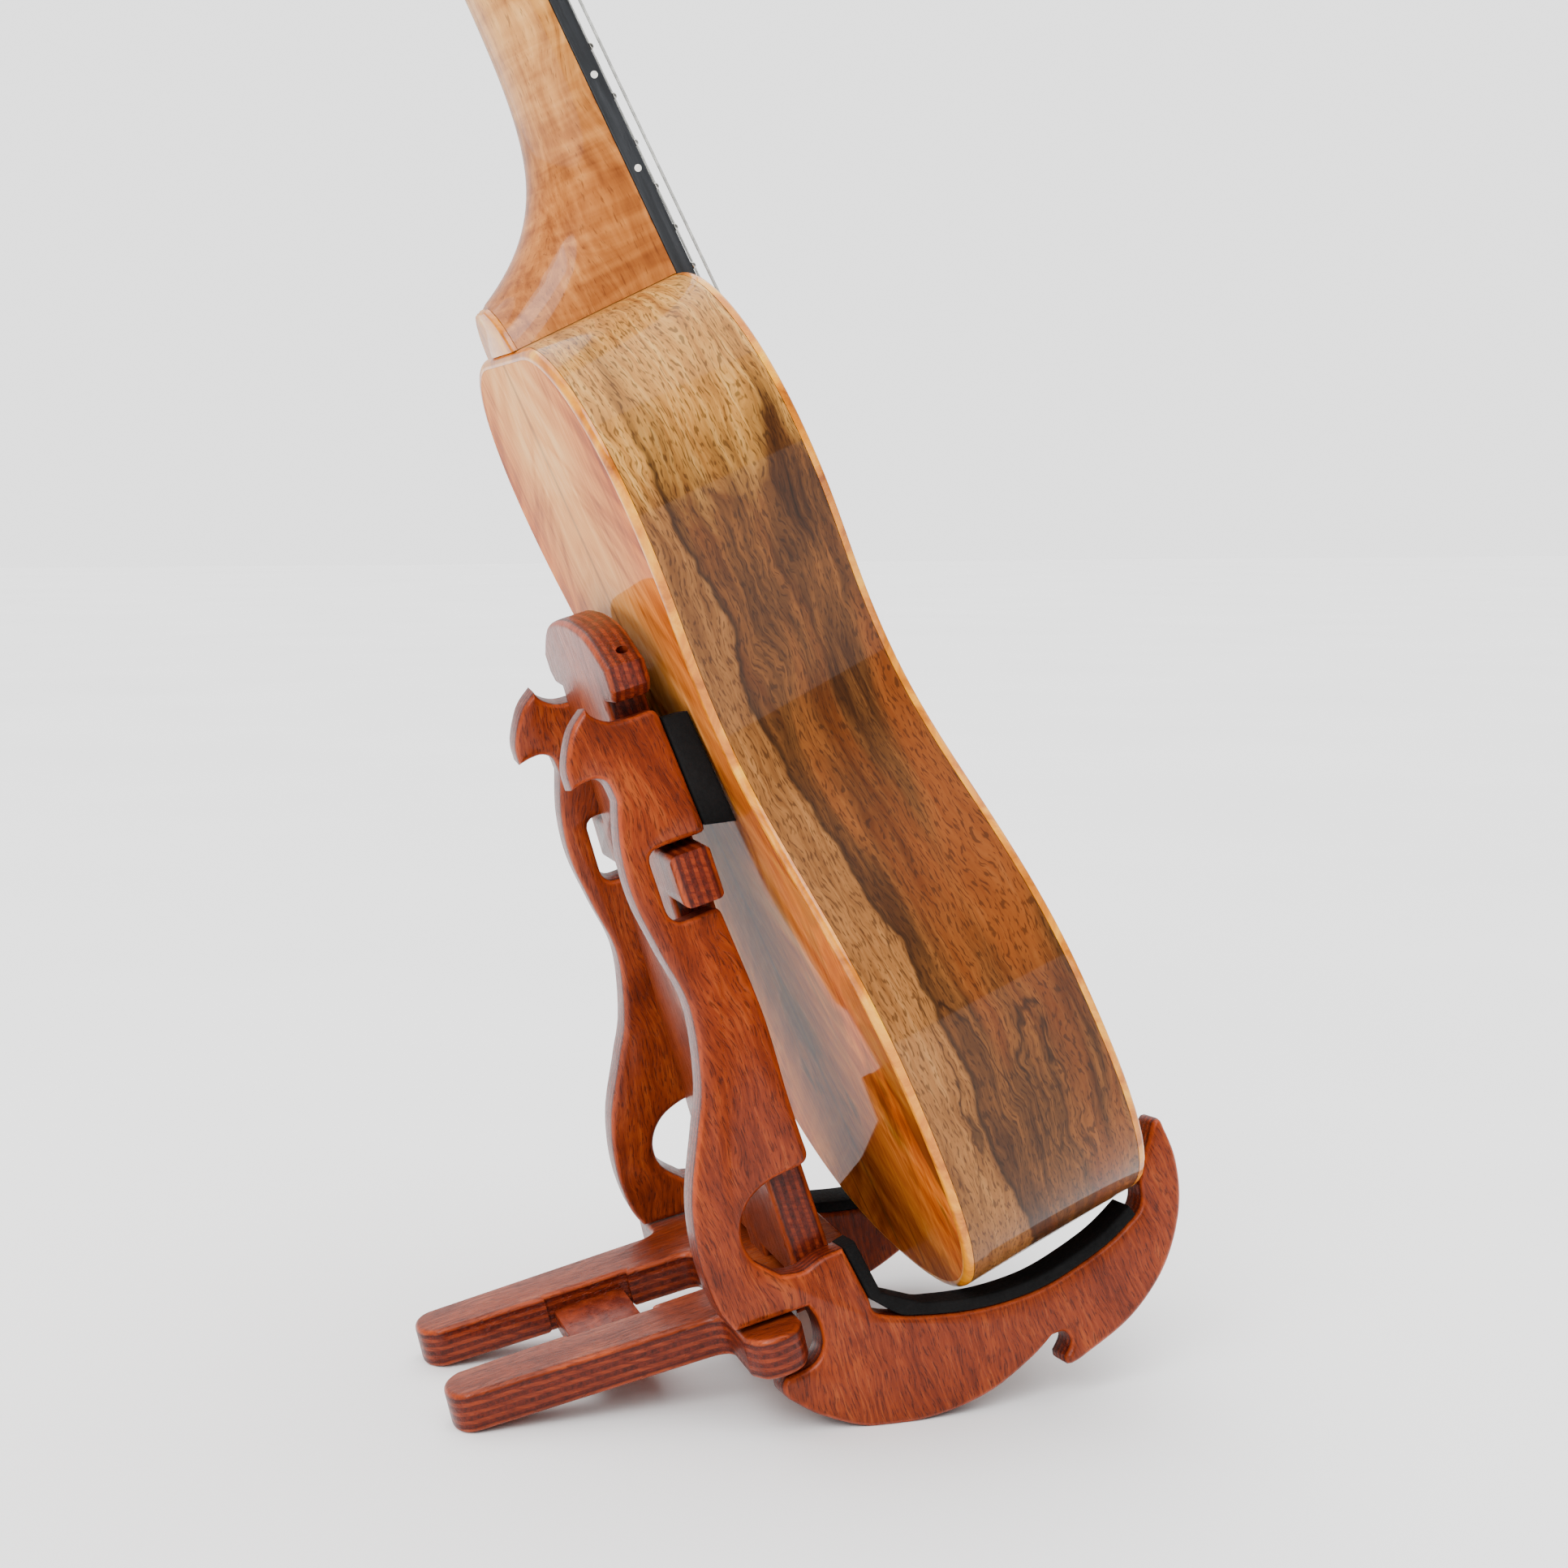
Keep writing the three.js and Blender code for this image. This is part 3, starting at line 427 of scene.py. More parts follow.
def drilled(piece, middle, axis, radius, long):
    """A hole drilled through a piece, square to its axis."""
    bit = bpy.data.meshes.new("bit")
    tool = bmesh.new()
    turn = Vector((0, 0, 1)).rotation_difference(axis).to_matrix().to_4x4()
    bmesh.ops.create_cone(tool, cap_ends=True, segments=28, radius1=radius, radius2=radius,
                          depth=long, matrix=Matrix.Translation(middle) @ turn)
    tool.to_mesh(bit)
    tool.free()
    cutter = put_in("bit", bit)
    cut = piece.modifiers.new("drilled", "BOOLEAN")
    cut.object = cutter
    cut.solver = "EXACT"
    bpy.context.view_layer.update()
    made = bpy.data.meshes.new_from_object(piece.evaluated_get(
        bpy.context.evaluated_depsgraph_get()))
    piece.modifiers.clear()
    piece.data = made
    bpy.data.objects.remove(cutter)


# a little hanging hole is drilled aslant through the shoulder of the head
HOLE_TURN = math.radians(38)
HOLE_SIDE, HOLE_BELOW, HOLE_WIDE, DRILL_LONG = -0.0345, 0.0115, 0.0017, 0.030
slant = Vector((0, -math.sin(HOLE_TURN), math.cos(HOLE_TURN)))
head_top = max(rise for run, rise in line)
hole_middle = (spine_face * (level - BOARD * 0.45) + sideways * HOLE_SIDE
               + spine_up * (head_top - HOLE_BELOW))
drilled(spine, hole_middle, slant, HOLE_WIDE, DRILL_LONG)
spine_look = stained_ply("stained_ply_spine", spine_face * (level - BOARD / 2), spine_face,
                         spine_up)
mount(spine, "stand", spine_look, "stand_plywood", "spine_board")

FORK_SLOPE = math.radians(13.2)
WEB = (0.0375, 0.0595, 0.0183, 0.0064)  # start and end along the fork, half width, thickness
fork_face = Vector((-math.sin(FORK_SLOPE), 0, math.cos(FORK_SLOPE)))
fork_along = Vector((math.cos(FORK_SLOPE), 0, math.sin(FORK_SLOPE)))
line, level = face_outline("base_fork", fork_face, fork_along, sideways)
fork = sawn_board("sawn_fork", fair(line), level - BOARD, BOARD, 0.0017,
                  stood_up(fork_face, fork_along, sideways))
tips = min(run for run, rise in line) + 0.003
start, end, half, thin = WEB
web_line = [(tips + start, -half), (tips + end, -half), (tips + end, half), (tips + start, half)]
web = sawn_board("milled_web", web_line, level - BOARD, thin, 0.0004,
                 stood_up(fork_face, fork_along, sideways), 2)
fork_look = stained_ply("stained_ply_fork", fork_face * (level - BOARD / 2), fork_face, fork_along)
mount(fork, "stand", fork_look, "stand_plywood", "base_fork")
mount(web, "stand", fork_look, "stand_plywood")

# -------------------------------------------------------------------------------- rubber pads
# Firm black rubber strips, glued to the front edge of each plate and into its cradle, so that
# the lacquer of the instrument never touches wood.

rubber = Finish("pad_rubber", Roughness=0.85, Specular_IOR_Level=0.15)
skin = rubber.noise(rubber.place(), (900, 900, 900), 5, 0.7)
dust = rubber.noise(rubber.place(), (60, 60, 60), 4, 0.6)
rubber_colour = rubber.ramp(dust, [(0.35, (9, 9, 10)), (0.7, (24, 23, 23))])
rubber.end(rubber_colour, rubber.spread(skin, 0.3, 0.7, 0.72, 0.92), skin, 0.0003)
for side, name in ((-1, "right"), (1, "left")):
    outward, upward = plate_ways(side)
    for kind in ("back_pad_", "cradle_pad_"):
        line, level = face_outline(kind + name, outward, AHEAD, upward)
        pad = sawn_board("rubber_" + kind + name, fair(line, 30, 0.0015), level - BOARD, BOARD,
                         0.0007, stood_up(outward, AHEAD, upward), 3)
        mount(pad, "stand", rubber.material, "pad_rubber", kind + name)

# ---------------------------------------------------------------------- ribs of the ukulele
# Two thin bent boards of spalted wood under thick clear gloss: pale tan towards the back,
# brown and orange towards the soundboard, with dark ink lines where the two meet.

LEAN = math.radians(26)
OUT = Vector((math.cos(LEAN), 0, math.sin(LEAN)))
UP = Vector((-math.sin(LEAN), 0, math.cos(LEAN)))
LEFT = Vector((0, 1, 0))
front_face = max(OUT.dot(v.co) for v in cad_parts["soundboard"].data.vertices)
tail_end = min(UP.dot(v.co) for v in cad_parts["soundboard"].data.vertices)
TAIL = OUT * front_face + UP * tail_end
BODY_LONG = 0.298
LOWER, WAIST, UPPER = (0.088, 0.097), (0.186, 0.062), (0.250, 0.074)
SHOULDER = 0.027
TAIL_DEEP, NECK_DEEP = 0.060, 0.051
PLATE = 0.0022
RIB = 0.002
GLUE = 0.00015


def at(out, left, up):
    """A point of the instrument: out of the soundboard, to the left, up from the tail."""
    return TAIL + OUT * out + LEFT * left + UP * up


def mix(a, b, share):
    return a + (b - a) * share


def deep(up):
    return mix(TAIL_DEEP, NECK_DEEP, up / BODY_LONG)


def bezier(p, t):
    u = 1 - t
    weights = (u ** 3, 3 * u * u * t, 3 * u * t * t, t ** 3)
    slopes = (-3 * u * u, 3 * u * u - 6 * u * t, 6 * u * t - 3 * t * t, 3 * t * t)
    point = [sum(w * q[k] for w, q in zip(weights, p)) for k in (0, 1)]
    slope = [sum(w * q[k] for w, q in zip(slopes, p)) for k in (0, 1)]
    length = math.hypot(*slope)
    return point, (slope[0] / length, slope[1] / length)


def half_body(steps=22):
    """From the tail to the neck joint: (half width, height, outward normal)."""
    (low, low_w), (mid, mid_w), (top, top_w) = LOWER, WAIST, UPPER
    curves = (
        ((0, 0), (low_w * 0.84, 0), (low_w, low * 0.43), (low_w, low)),
        ((low_w, low), (low_w, mix(low, mid, 0.46)), (mid_w, mix(mid, low, 0.36)), (mid_w, mid)),
        ((mid_w, mid), (mid_w, mix(mid, top, 0.4)), (top_w, mix(top, mid, 0.42)), (top_w, top)),
        ((top_w, top), (top_w, mix(top, BODY_LONG, 0.62)), (top_w * 0.72, BODY_LONG),
         (SHOULDER, BODY_LONG)),
    )
    found = []
    for number, curve in enumerate(curves):
        for k in range(1 if number else 0, steps + 1):
            (wide, up), (run_w, run_u) = bezier(curve, k / steps)
            found.append((wide, up, (run_u, -run_w)))
    return found


def inset(found, by):
    return [(wide - n[0] * by, up - n[1] * by) for wide, up, n in found]


spalted = Finish(
    "spalted_rib", Roughness=0.4, Specular_IOR_Level=0.06, Coat_Weight=0.5,
    Coat_Roughness=0.04, Coat_IOR=1.34,
)
# each point carries its run from the tail, its depth below the soundboard and its half width
bend = spalted.node("Attribute", {}, 1, attribute_name="bend")
run = spalted.along(bend, (1, 0, 0))
depth = spalted.along(bend, (0, 1, 0))
slow = spalted.noise(bend, (14, 34, 6), 4, 0.55, 0.4)
waver = spalted.sway(slow, 0.016, depth)
warped = spalted.point(run, waver, 0.0)
ripple = spalted.noise(bend, (60, 24, 10), 2, 0.5, 0.8)
curl = spalted.sway(ripple, 0.0014, waver)
curled = spalted.point(run, curl, 0.0)
fibre = spalted.noise(curled, (30, 560, 1), 7, 0.64)
patch = spalted.noise(warped, (15, 52, 1), 5, 0.55, 0.5)
tan = spalted.ramp(
    spalted.blend(fibre, 0.6, patch, 0.4),
    [(0.32, (88, 54, 26)), (0.45, (128, 84, 44)), (0.56, (152, 104, 58)), (0.70, (180, 132, 80))],
)
brown = spalted.ramp(
    spalted.blend(fibre, 0.5, patch, 0.5),
    [(0.32, (40, 22, 11)), (0.43, (74, 44, 21)), (0.51, (98, 62, 31)), (0.60, (130, 82, 40)),
     (0.72, (158, 108, 60))],
)
# warmer orange-brown streaks lie here and there along the brown
warm = spalted.spread(spalted.noise(warped, (7, 44, 1), 3, 0.5), 0.5, 0.64)
brown = spalted.over(brown, warm, 0.55, (138, 70, 24))

# the ink line that parts the tan from the brown wanders from tail to waist
line_noise = spalted.noise(bend, (20, 1, 1), 4, 0.55)
line_at = spalted.sway(line_noise, 0.022, -0.0405)
beside = spalted.sum("SUBTRACT", depth, line_at)
part = spalted.spread(beside, -0.0008, 0.0008)
wood_colour = spalted.mix(part, tan, brown)
# the shoulder is painted pale right across: a painted reflection
pale = spalted.spread(spalted.sway(patch, 0.12, run), 0.315, 0.345)
reflection_cream = spalted.ramp(fibre, [(0.3, (140, 90, 40)), (0.5, (194, 140, 70)), (0.7, (224, 178, 104))])
wood_colour = spalted.over(wood_colour, pale, 0.85, reflection_cream)
near_line = spalted.spread(spalted.sum("ABSOLUTE", beside), 0.0012, 0.0002, 0.0, 0.85)
halo = spalted.times(spalted.spread(beside, 0.007, 0.0), part)
wood_colour = spalted.over(wood_colour, halo, 0.45, (70, 42, 24))
below_shoulder = spalted.spread(run, 0.36, 0.33)
ink = spalted.times(near_line, below_shoulder)
# finer ink lines follow the edges of the stained patches
level_lines = spalted.noise(warped, (8, 44, 1), 4, 0.55, 0.4)
contour = spalted.sum("ABSOLUTE", spalted.sum("SUBTRACT", level_lines, 0.46))
veins = spalted.spread(contour, 0.010, 0.002, 0.0, 0.8)
fade = spalted.spread(spalted.noise(bend, (9, 20, 3), 2), 0.52, 0.66)
ink = spalted.sum("MAXIMUM", ink, spalted.times(veins, fade))
pool = spalted.spread(spalted.noise(warped, (22, 110, 1), 4, 0.6, 0.5), 0.66, 0.76)
ink = spalted.sum("MAXIMUM", ink, spalted.times(pool, 0.8))
wood_colour = spalted.over(wood_colour, ink, 0.88, (40, 24, 14))
dash = spalted.noise(curled, (330, 1800, 1), 1, 0.5)
pores = spalted.spread(dash, 0.54, 0.63)
wood_colour = spalted.over(wood_colour, pores, 0.62, (50, 30, 16))
spalted.end(wood_colour, None, spalted.times(pores, -1.0), 0.00003)


def bent_rib(side, name):
    found = half_body()
    outer, inner = inset(found, 0), inset(found, RIB)
    rings, marks, run_long = [], [], 0
    levels = 9
    for k, ((wide, up), (in_wide, in_up)) in enumerate(zip(outer, inner)):
        if k:
            run_long += math.hypot(wide - outer[k - 1][0], up - outer[k - 1][1])
        wide, in_wide = max(wide, GLUE), max(in_wide, GLUE)
        top, low, low_in = -PLATE - GLUE, PLATE + GLUE - deep(up), PLATE + GLUE - deep(in_up)
        ring = [(mix(top, low, n / levels), wide, up) for n in range(levels + 1)]
        ring += [(low_in, in_wide, in_up), (top, in_wide, in_up)]
        rings.append([at(out, side * w, u) for out, w, u in ring])
        marks += [(run_long, out, w) for out, w, u in ring]
    # the flat under the neck joint closes the rib at the centre line
    run_long += SHOULDER
    ring = [(mix(-PLATE - GLUE, PLATE + GLUE - NECK_DEEP, n / levels), GLUE, BODY_LONG)
            for n in range(levels + 1)]
    inner_up = BODY_LONG - RIB
    ring += [(PLATE + GLUE - deep(inner_up), GLUE, inner_up), (-PLATE - GLUE, GLUE, inner_up)]
    rings.append([at(out, side * w, u) for out, w, u in ring])
    marks += [(run_long, out, w) for out, w, u in ring]
    return skin_over(name, rings, 40, marks)


for side, name in ((-1, "right"), (1, "left")):
    mount(bent_rib(side, "bent_rib_" + name), "ukulele", spalted.material, "koa_side",
          "rib_" + name)

# -------------------------------------------------------------------------- back and binding
# The back is two bookmatched leaves of curly amber wood, joined down the middle. A rounded
# amber binding runs round the edge of the back and a thinner one round the soundboard.

BACK_BIND, TOP_BIND = 0.0026, 0.0014


def ring_of(found, by):
    """The whole outline, once round, set in by a distance."""
    half = inset(found, by)
    return [(w, u) for w, u in half] + [(-w, u) for w, u in reversed(half[1:])]


def edge_loops(found, profile):
    return [[at(level(u), w, u) for w, u in ring_of(found, by)] for by, level in profile]


def plank(name, found, profile, hole=None):
    """A board under the body outline: profile holds (inset, level) from its edge inwards."""
    loops = edge_loops(found, profile)
    if not hole:
        return skin_over(name, loops, 30)
    up_at, radius, rounded = hole
    for level, spread in ((0, radius + rounded), (-rounded, radius), (-PLATE, radius)):
        turns = [math.atan2(w, u - up_at) for w, u in ring_of(found, 0)]
        loops.append([at(level, spread * math.sin(turn), up_at + spread * math.cos(turn))
                      for turn in turns])
    return skin_over(name, loops, 30, hoop=True)


def binding(name, found, profile):
    """A strip let into the edge: profile holds (inset, level) round its section."""
    return skin_over(name, list(zip(*edge_loops(found, profile))), 50, hoop=True)


def quarter_round(wide, tall, radius, face, steps=5):
    """Section of a binding with its outer corner rounded; face gives the level of its face."""
    sign = -1 if tall < 0 else 1
    made = [(wide, lambda u: face(u) + tall), (0, lambda u: face(u) + tall)]
    for k in range(steps + 1):
        turn = math.pi / 2 * k / steps
        drop = radius * (1 - math.sin(turn))
        made.append((radius * (1 - math.cos(turn)), lambda u, d=drop: face(u) + sign * d))
    made.append((wide, lambda u: face(u)))
    return made


def bookmatched(name, stops, seam, figure_scale, ray, amber=None):
    """Two mirrored leaves: grain runs up the body and the curl fans out from the seam."""
    wood = Finish(name, Roughness=0.4, Specular_IOR_Level=0.0, Coat_Weight=0.22,
                  Coat_Roughness=0.04, Coat_IOR=1.3)
    up, left = wood.axes(TAIL, UP, LEFT)
    off = wood.sum("ABSOLUTE", left)
    leaf = wood.point(up, off, 0.0)
    slow = wood.noise(leaf, (9, 22, 1), 3, 0.5, 0.5)
    bowed = wood.sway(slow, 0.05, off)
    grain_at = wood.point(up, bowed, 0.0)
    fibre = wood.noise(grain_at, (18, 330, 1), 6, 0.6)
    fan = wood.point(wood.sum("MULTIPLY_ADD", off, ray, up), wood.times(off, 0.25), 0.0)
    curl = wood.noise(fan, figure_scale, 3, 0.5, 1.2)
    cloud = wood.noise(leaf, (20, 34, 1), 4, 0.6, 1.0)
    tone = wood.blend(fibre, 0.3, curl, 0.42)
    tone = wood.sum("ADD", tone, wood.times(cloud, 0.30))
    colour = wood.ramp(tone, stops)
    if amber:
        edge = wood.spread(wood.sum("MULTIPLY_ADD", cloud, 0.03, off), 0.040, 0.080)
        low = wood.spread(wood.sum("MULTIPLY_ADD", cloud, 0.10, up), 0.27, 0.12)
        edge = wood.sum("MAXIMUM", edge, wood.times(low, 0.8))
        colour = wood.over(colour, edge, 0.85, wood.ramp(tone, amber))
        tortoise = wood.spread(cloud, 0.49, 0.60)
        dark = wood.times(wood.times(tortoise, low), 0.72)
        colour = wood.mix(dark, colour, (52, 17, 2))
    joint = wood.spread(wood.sum("MULTIPLY_ADD", curl, 0.003, off), 0.0042, 0.0014)
    colour = wood.mix(wood.times(joint, seam), colour, (120, 78, 50))
    return wood.end(colour, None, fibre, 0.00002)


amber = Finish(
    "amber_binding", Roughness=0.4, Specular_IOR_Level=0.1, Coat_Weight=0.6, Coat_Roughness=0.05,
)
streaks = amber.noise(amber.place(), (60, 60, 60), 5, 0.65, 1.0)
amber_colour = amber.ramp(streaks, [
    (0.3, (150, 80, 6)), (0.46, (204, 124, 10)), (0.58, (230, 156, 22)), (0.75, (246, 192, 64)),
])
amber.end(amber_colour)

outline = half_body()
back_leaf = bookmatched(
    "bookmatched_back",
    [(0.36, (150, 80, 30)), (0.46, (204, 128, 58)), (0.55, (228, 158, 86)),
     (0.68, (244, 192, 126))],
    0.65, (55, 60, 1), 0.7,
    [(0.36, (96, 34, 2)), (0.47, (168, 76, 5)), (0.56, (204, 108, 12)), (0.68, (232, 148, 40))],
)
back = plank("bookmatched_back_leaves", outline, [
    (BACK_BIND + 0.00005, lambda u: PLATE - deep(u)), (BACK_BIND + 0.00005, lambda u: -deep(u)),
])
mount(back, "ukulele", back_leaf, "koa_back", "back_plate")
back_binding = binding("back_binding", outline, quarter_round(
    BACK_BIND, PLATE, 0.0021, lambda u: -deep(u)))
mount(back_binding, "ukulele", amber.material, "koa_back")

# ----------------------------------------------------------------------------- soundboard
# The top is bookmatched from the same tree, thinly bound, with a ring of shell and dark
# lines let in round the soundhole.

HOLE_UP, HOLE = 0.198, 0.031
top_leaf = bookmatched(
    "bookmatched_top",
    [(0.34, (96, 56, 26)), (0.46, (146, 92, 46)), (0.56, (178, 120, 66)), (0.70, (208, 156, 98))],
    0.5, (40, 50, 1), 0.35,
)
top = plank("bookmatched_soundboard", outline, [
    (TOP_BIND + 0.00005, lambda u: -PLATE), (TOP_BIND + 0.00005, lambda u: 0.0),
], (HOLE_UP, HOLE, 0.0005))
mount(top, "ukulele", top_leaf, "koa_top", "soundboard")
top_binding = binding("top_binding", outline, quarter_round(
    TOP_BIND, -PLATE, 0.0011, lambda u: 0.0))
mount(top_binding, "ukulele", amber.material, "koa_top")


def inlaid_ring(name, centre_up, low, high, proud, steps=96):
    section = [(low, -0.0003), (low, proud * 0.6), (low + 0.0002, proud),
               (high - 0.0002, proud), (high, proud * 0.6), (high, -0.0003)]
    rings = []
    for k in range(steps):
        turn = 2 * math.pi * k / steps
        rings.append([
            at(out, radius * math.sin(turn), centre_up + radius * math.cos(turn))
            for radius, out in section
        ])
    return skin_over(name, rings, 60, hoop=True)


shell = Finish("rosette_shell", Roughness=0.22, Coat_Weight=1.0, Coat_Roughness=0.05)
facet = shell.node("TexVoronoi", {"Vector": shell.place(), "Scale": 420.0}, 1)
sheen = shell.noise(shell.place(), (160, 160, 160), 4, 0.6, 1.5)
shell_colour = shell.ramp(sheen, [
    (0.32, (40, 92, 96)), (0.45, (110, 164, 150)), (0.56, (196, 206, 190)), (0.7, (176, 128, 150)),
])
shell.end(shell.mix(0.18, shell_colour, facet, "OVERLAY"))
dark_line = Finish("dark_purfling", Roughness=0.4, Coat_Weight=0.8, Coat_Roughness=0.06)
fleck = dark_line.noise(dark_line.place(), (500, 500, 500), 3, 0.6)
dark_line.end(dark_line.ramp(fleck, [(0.35, (14, 12, 12)), (0.7, (38, 32, 28))]))
for name, low, high, finish in (
    ("rosette_shell", 0.0352, 0.0386, shell), ("rosette_inner_line", 0.0343, 0.0351, dark_line),
    ("rosette_outer_line", 0.0387, 0.0395, dark_line),
):
    mount(inlaid_ring(name, HOLE_UP, low, high, 0.00008), "ukulele", finish.material, "koa_top")

# ------------------------------------------------------------ linings, blocks and braces
# Inside the body: raw spruce braces and bent linings, mahogany blocks at tail and neck. They
# are glued to the plates and ribs, left unfinished, and seen only through the soundhole.


def raw_wood(name, stops):
    wood = Finish(name, Roughness=0.7)
    local = wood.point(*wood.axes(TAIL, OUT, LEFT, UP))
    lines = wood.noise(local, (260, 30, 260), 5, 0.6)
    return wood.end(wood.ramp(lines, stops), wood.spread(lines, 0.3, 0.7, 0.6, 0.8), lines, 0.0001)


spruce = raw_wood("raw_spruce", [
    (0.35, (190, 150, 98)), (0.55, (222, 188, 136)), (0.7, (236, 208, 160)),
])
mahogany = raw_wood("raw_mahogany", [(0.35, (104, 60, 38)), (0.6, (150, 92, 58))])
for node in ("lining_top", "lining_back", "top_brace", "fan_brace", "back_brace_lower",
             "back_brace_upper"):
    cover(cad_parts[node], spruce)
for node in ("tail_block", "neck_block"):
    cover(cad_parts[node], mahogany)

# ----------------------------------------------------------------------------- tail graft
# A dark strip of wood glued over the joint of the two ribs at the tail. It runs from the
# soundboard to the back, and stands a hair proud of the ribs.

graft = Finish("tail_graft", Roughness=0.3, Coat_Weight=1.0, Coat_Roughness=0.05)
graft_place = graft.vector("SUBTRACT", graft.place(), TAIL)
graft_grain = graft.noise(graft_place, (60, 600, 200), 5, 0.6)
graft.end(graft.ramp(graft_grain, [
    (0.35, (74, 34, 20)), (0.6, (122, 62, 36)), (0.75, (150, 84, 50)),
]))
front, rear = -PLATE - 2 * GLUE, PLATE + 2 * GLUE - TAIL_DEEP
strip = []
for k in range(13):
    wide = mix(-0.006, 0.006, k / 12)
    proud = -0.00012 if abs(k - 6) < 6 else 0.0003
    rise = min(outline, key=lambda found: abs(found[0] - abs(wide)))[1]
    strip.append([at(front, wide, rise + proud), at(rear, wide, rise + proud),
                  at(rear, wide, rise + 0.0006), at(front, wide, rise + 0.0006)])
mount(skin_over("tail_graft", strip), "ukulele", graft.material, "koa_side")

# ----------------------------------------------------------------------------------- neck
# One piece of honey-coloured curly wood, carved to a round back that swells into the heel.
# It is glued to the body, and the headstock is cut from the same piece.

SCALE = 0.432
NUT_HALF, JOINT_HALF = 0.0175, 0.0215
NECK_THICK = 0.015
HEEL_DROP, HEEL_FADE = 0.080, 0.0165
CAP = 0.0018


def fret_at(n):
    return SCALE * (1 - 2 ** (-n / 12))


NUT_UP = BODY_LONG + fret_at(14)
NUT_WIDE = 0.0045
HEAD_UP = NUT_UP + NUT_WIDE


def board_half(up):
    return mix(NUT_HALF, JOINT_HALF, (NUT_UP - up) / (NUT_UP - BODY_LONG))


def neck_section(up, floor, count=18, flat=6):
    """Half-round section of the neck, cut off flat where the heel reaches its cap."""
    half = board_half(up)
    low = NECK_THICK + HEEL_DROP * math.exp((BODY_LONG - up) / HEEL_FADE)
    end = math.pi / 2 if low <= floor else math.asin((floor / low) ** (1 / 0.9))
    turns = [end * k / count for k in range(count + 1)]
    section = [(-low * math.sin(turn) ** 0.9 if turn else 0.0, half * math.cos(turn))
               for turn in turns]
    across = section[-1][1]
    section += [(section[count][0], across * (1 - 2 * k / flat)) for k in range(1, flat)]
    return section + [(out, -wide) for out, wide in reversed(section[:count + 1])]


honey = Finish("honey_neck", Roughness=0.42, Specular_IOR_Level=0.12, Coat_Weight=0.6,
               Coat_Roughness=0.06, Coat_IOR=1.4)
honey_up, honey_side, honey_out = honey.axes(TAIL, UP, LEFT, OUT)
honey_local = honey.point(honey_up, honey_side, honey_out)
honey_drift = honey.noise(honey_local, (12, 30, 30), 3, 0.5, 0.6)
honey_bent = honey.sway(honey_drift, 0.02, honey_out)
honey_flow = honey.point(honey_up, honey_side, honey_bent)
honey_fibre = honey.noise(honey_flow, (26, 420, 420), 6, 0.6)
honey_curl = honey.noise(honey_flow, (110, 14, 26), 3, 0.55, 1.0)
honey_tone = honey.blend(honey_fibre, 0.45, honey_curl, 0.55)
honey_light = honey.ramp(honey_tone, [
    (0.34, (158, 100, 44)), (0.46, (202, 142, 70)), (0.56, (224, 168, 94)), (0.70, (240, 192, 124)),
])
honey_dark = honey.ramp(honey_tone, [
    (0.34, (122, 64, 24)), (0.46, (164, 98, 42)), (0.56, (190, 122, 58)), (0.70, (216, 152, 84)),
])
heel_zone = honey.spread(honey_up, 0.40, 0.33)
honey_colour = honey.mix(heel_zone, honey_light, honey_dark)
honey_dash = honey.spread(honey.noise(honey_flow, (210, 1900, 1900), 2, 0.5), 0.61, 0.7)
honey_colour = honey.over(honey_colour, honey_dash, 0.5, (96, 50, 26))
honey.end(honey_colour, None, honey_dash, 0.00003)

cap_level = NECK_DEEP - CAP - GLUE
stations = [BODY_LONG + GLUE + (HEAD_UP - BODY_LONG) * (k / 90) ** 1.7 for k in range(91)]
neck_rings = [[at(out, wide, up) for out, wide in neck_section(up, cap_level)] for up in stations]
TILT = math.radians(12)
head_out = OUT * math.cos(TILT) + UP * math.sin(TILT)
head_up = UP * math.cos(TILT) - OUT * math.sin(TILT)
head_foot = at(0, 0, HEAD_UP)
for k in range(1, 9):  # the neck runs on into the headstock and dies away under it
    reach, shrink = 0.016 * k / 8, 1 - (k / 8) ** 2 * 0.35
    narrow = 1 - (k / 8) ** 3 * 0.3
    neck_rings.append([
        head_foot + head_up * reach + head_out * out * shrink + LEFT * wide * narrow
        for out, wide in neck_section(HEAD_UP, cap_level)
    ])
neck = skin_over("carved_neck", neck_rings, sharp=38)
mount(neck, "ukulele", honey.material, "neck_wood", "neck")


def smooth_run(points, steps):
    """A smooth line through the points, in as many steps between each pair."""
    padded = [points[0]] + list(points) + [points[-1]]
    line = []
    for a, b, c, d in zip(padded, padded[1:], padded[2:], padded[3:]):
        for k in range(steps):
            t = k / steps
            line.append(tuple(
                0.5 * (2 * q + (r - p) * t + (2 * p - 5 * q + 4 * r - s) * t * t
                       + (3 * q - p - 3 * r + s) * t ** 3)
                for p, q, r, s in zip(a, b, c, d)))
    return line + [tuple(points[-1])]


HEAD_THICK = 0.012
edge = smooth_run([(0.0184, 0), (0.020, 0.006), (0.028, 0.017), (0.031, 0.028), (0.030, 0.060),
                   (0.027, 0.126)], 8)
crown = smooth_run([(0.027, 0.126), (0.022, 0.1295), (0, 0.132)], 8)
right_edge = edge + crown[1:]
head_line = right_edge + [(-w, u) for w, u in reversed(right_edge[:-1])]
ROUND = 0.0014


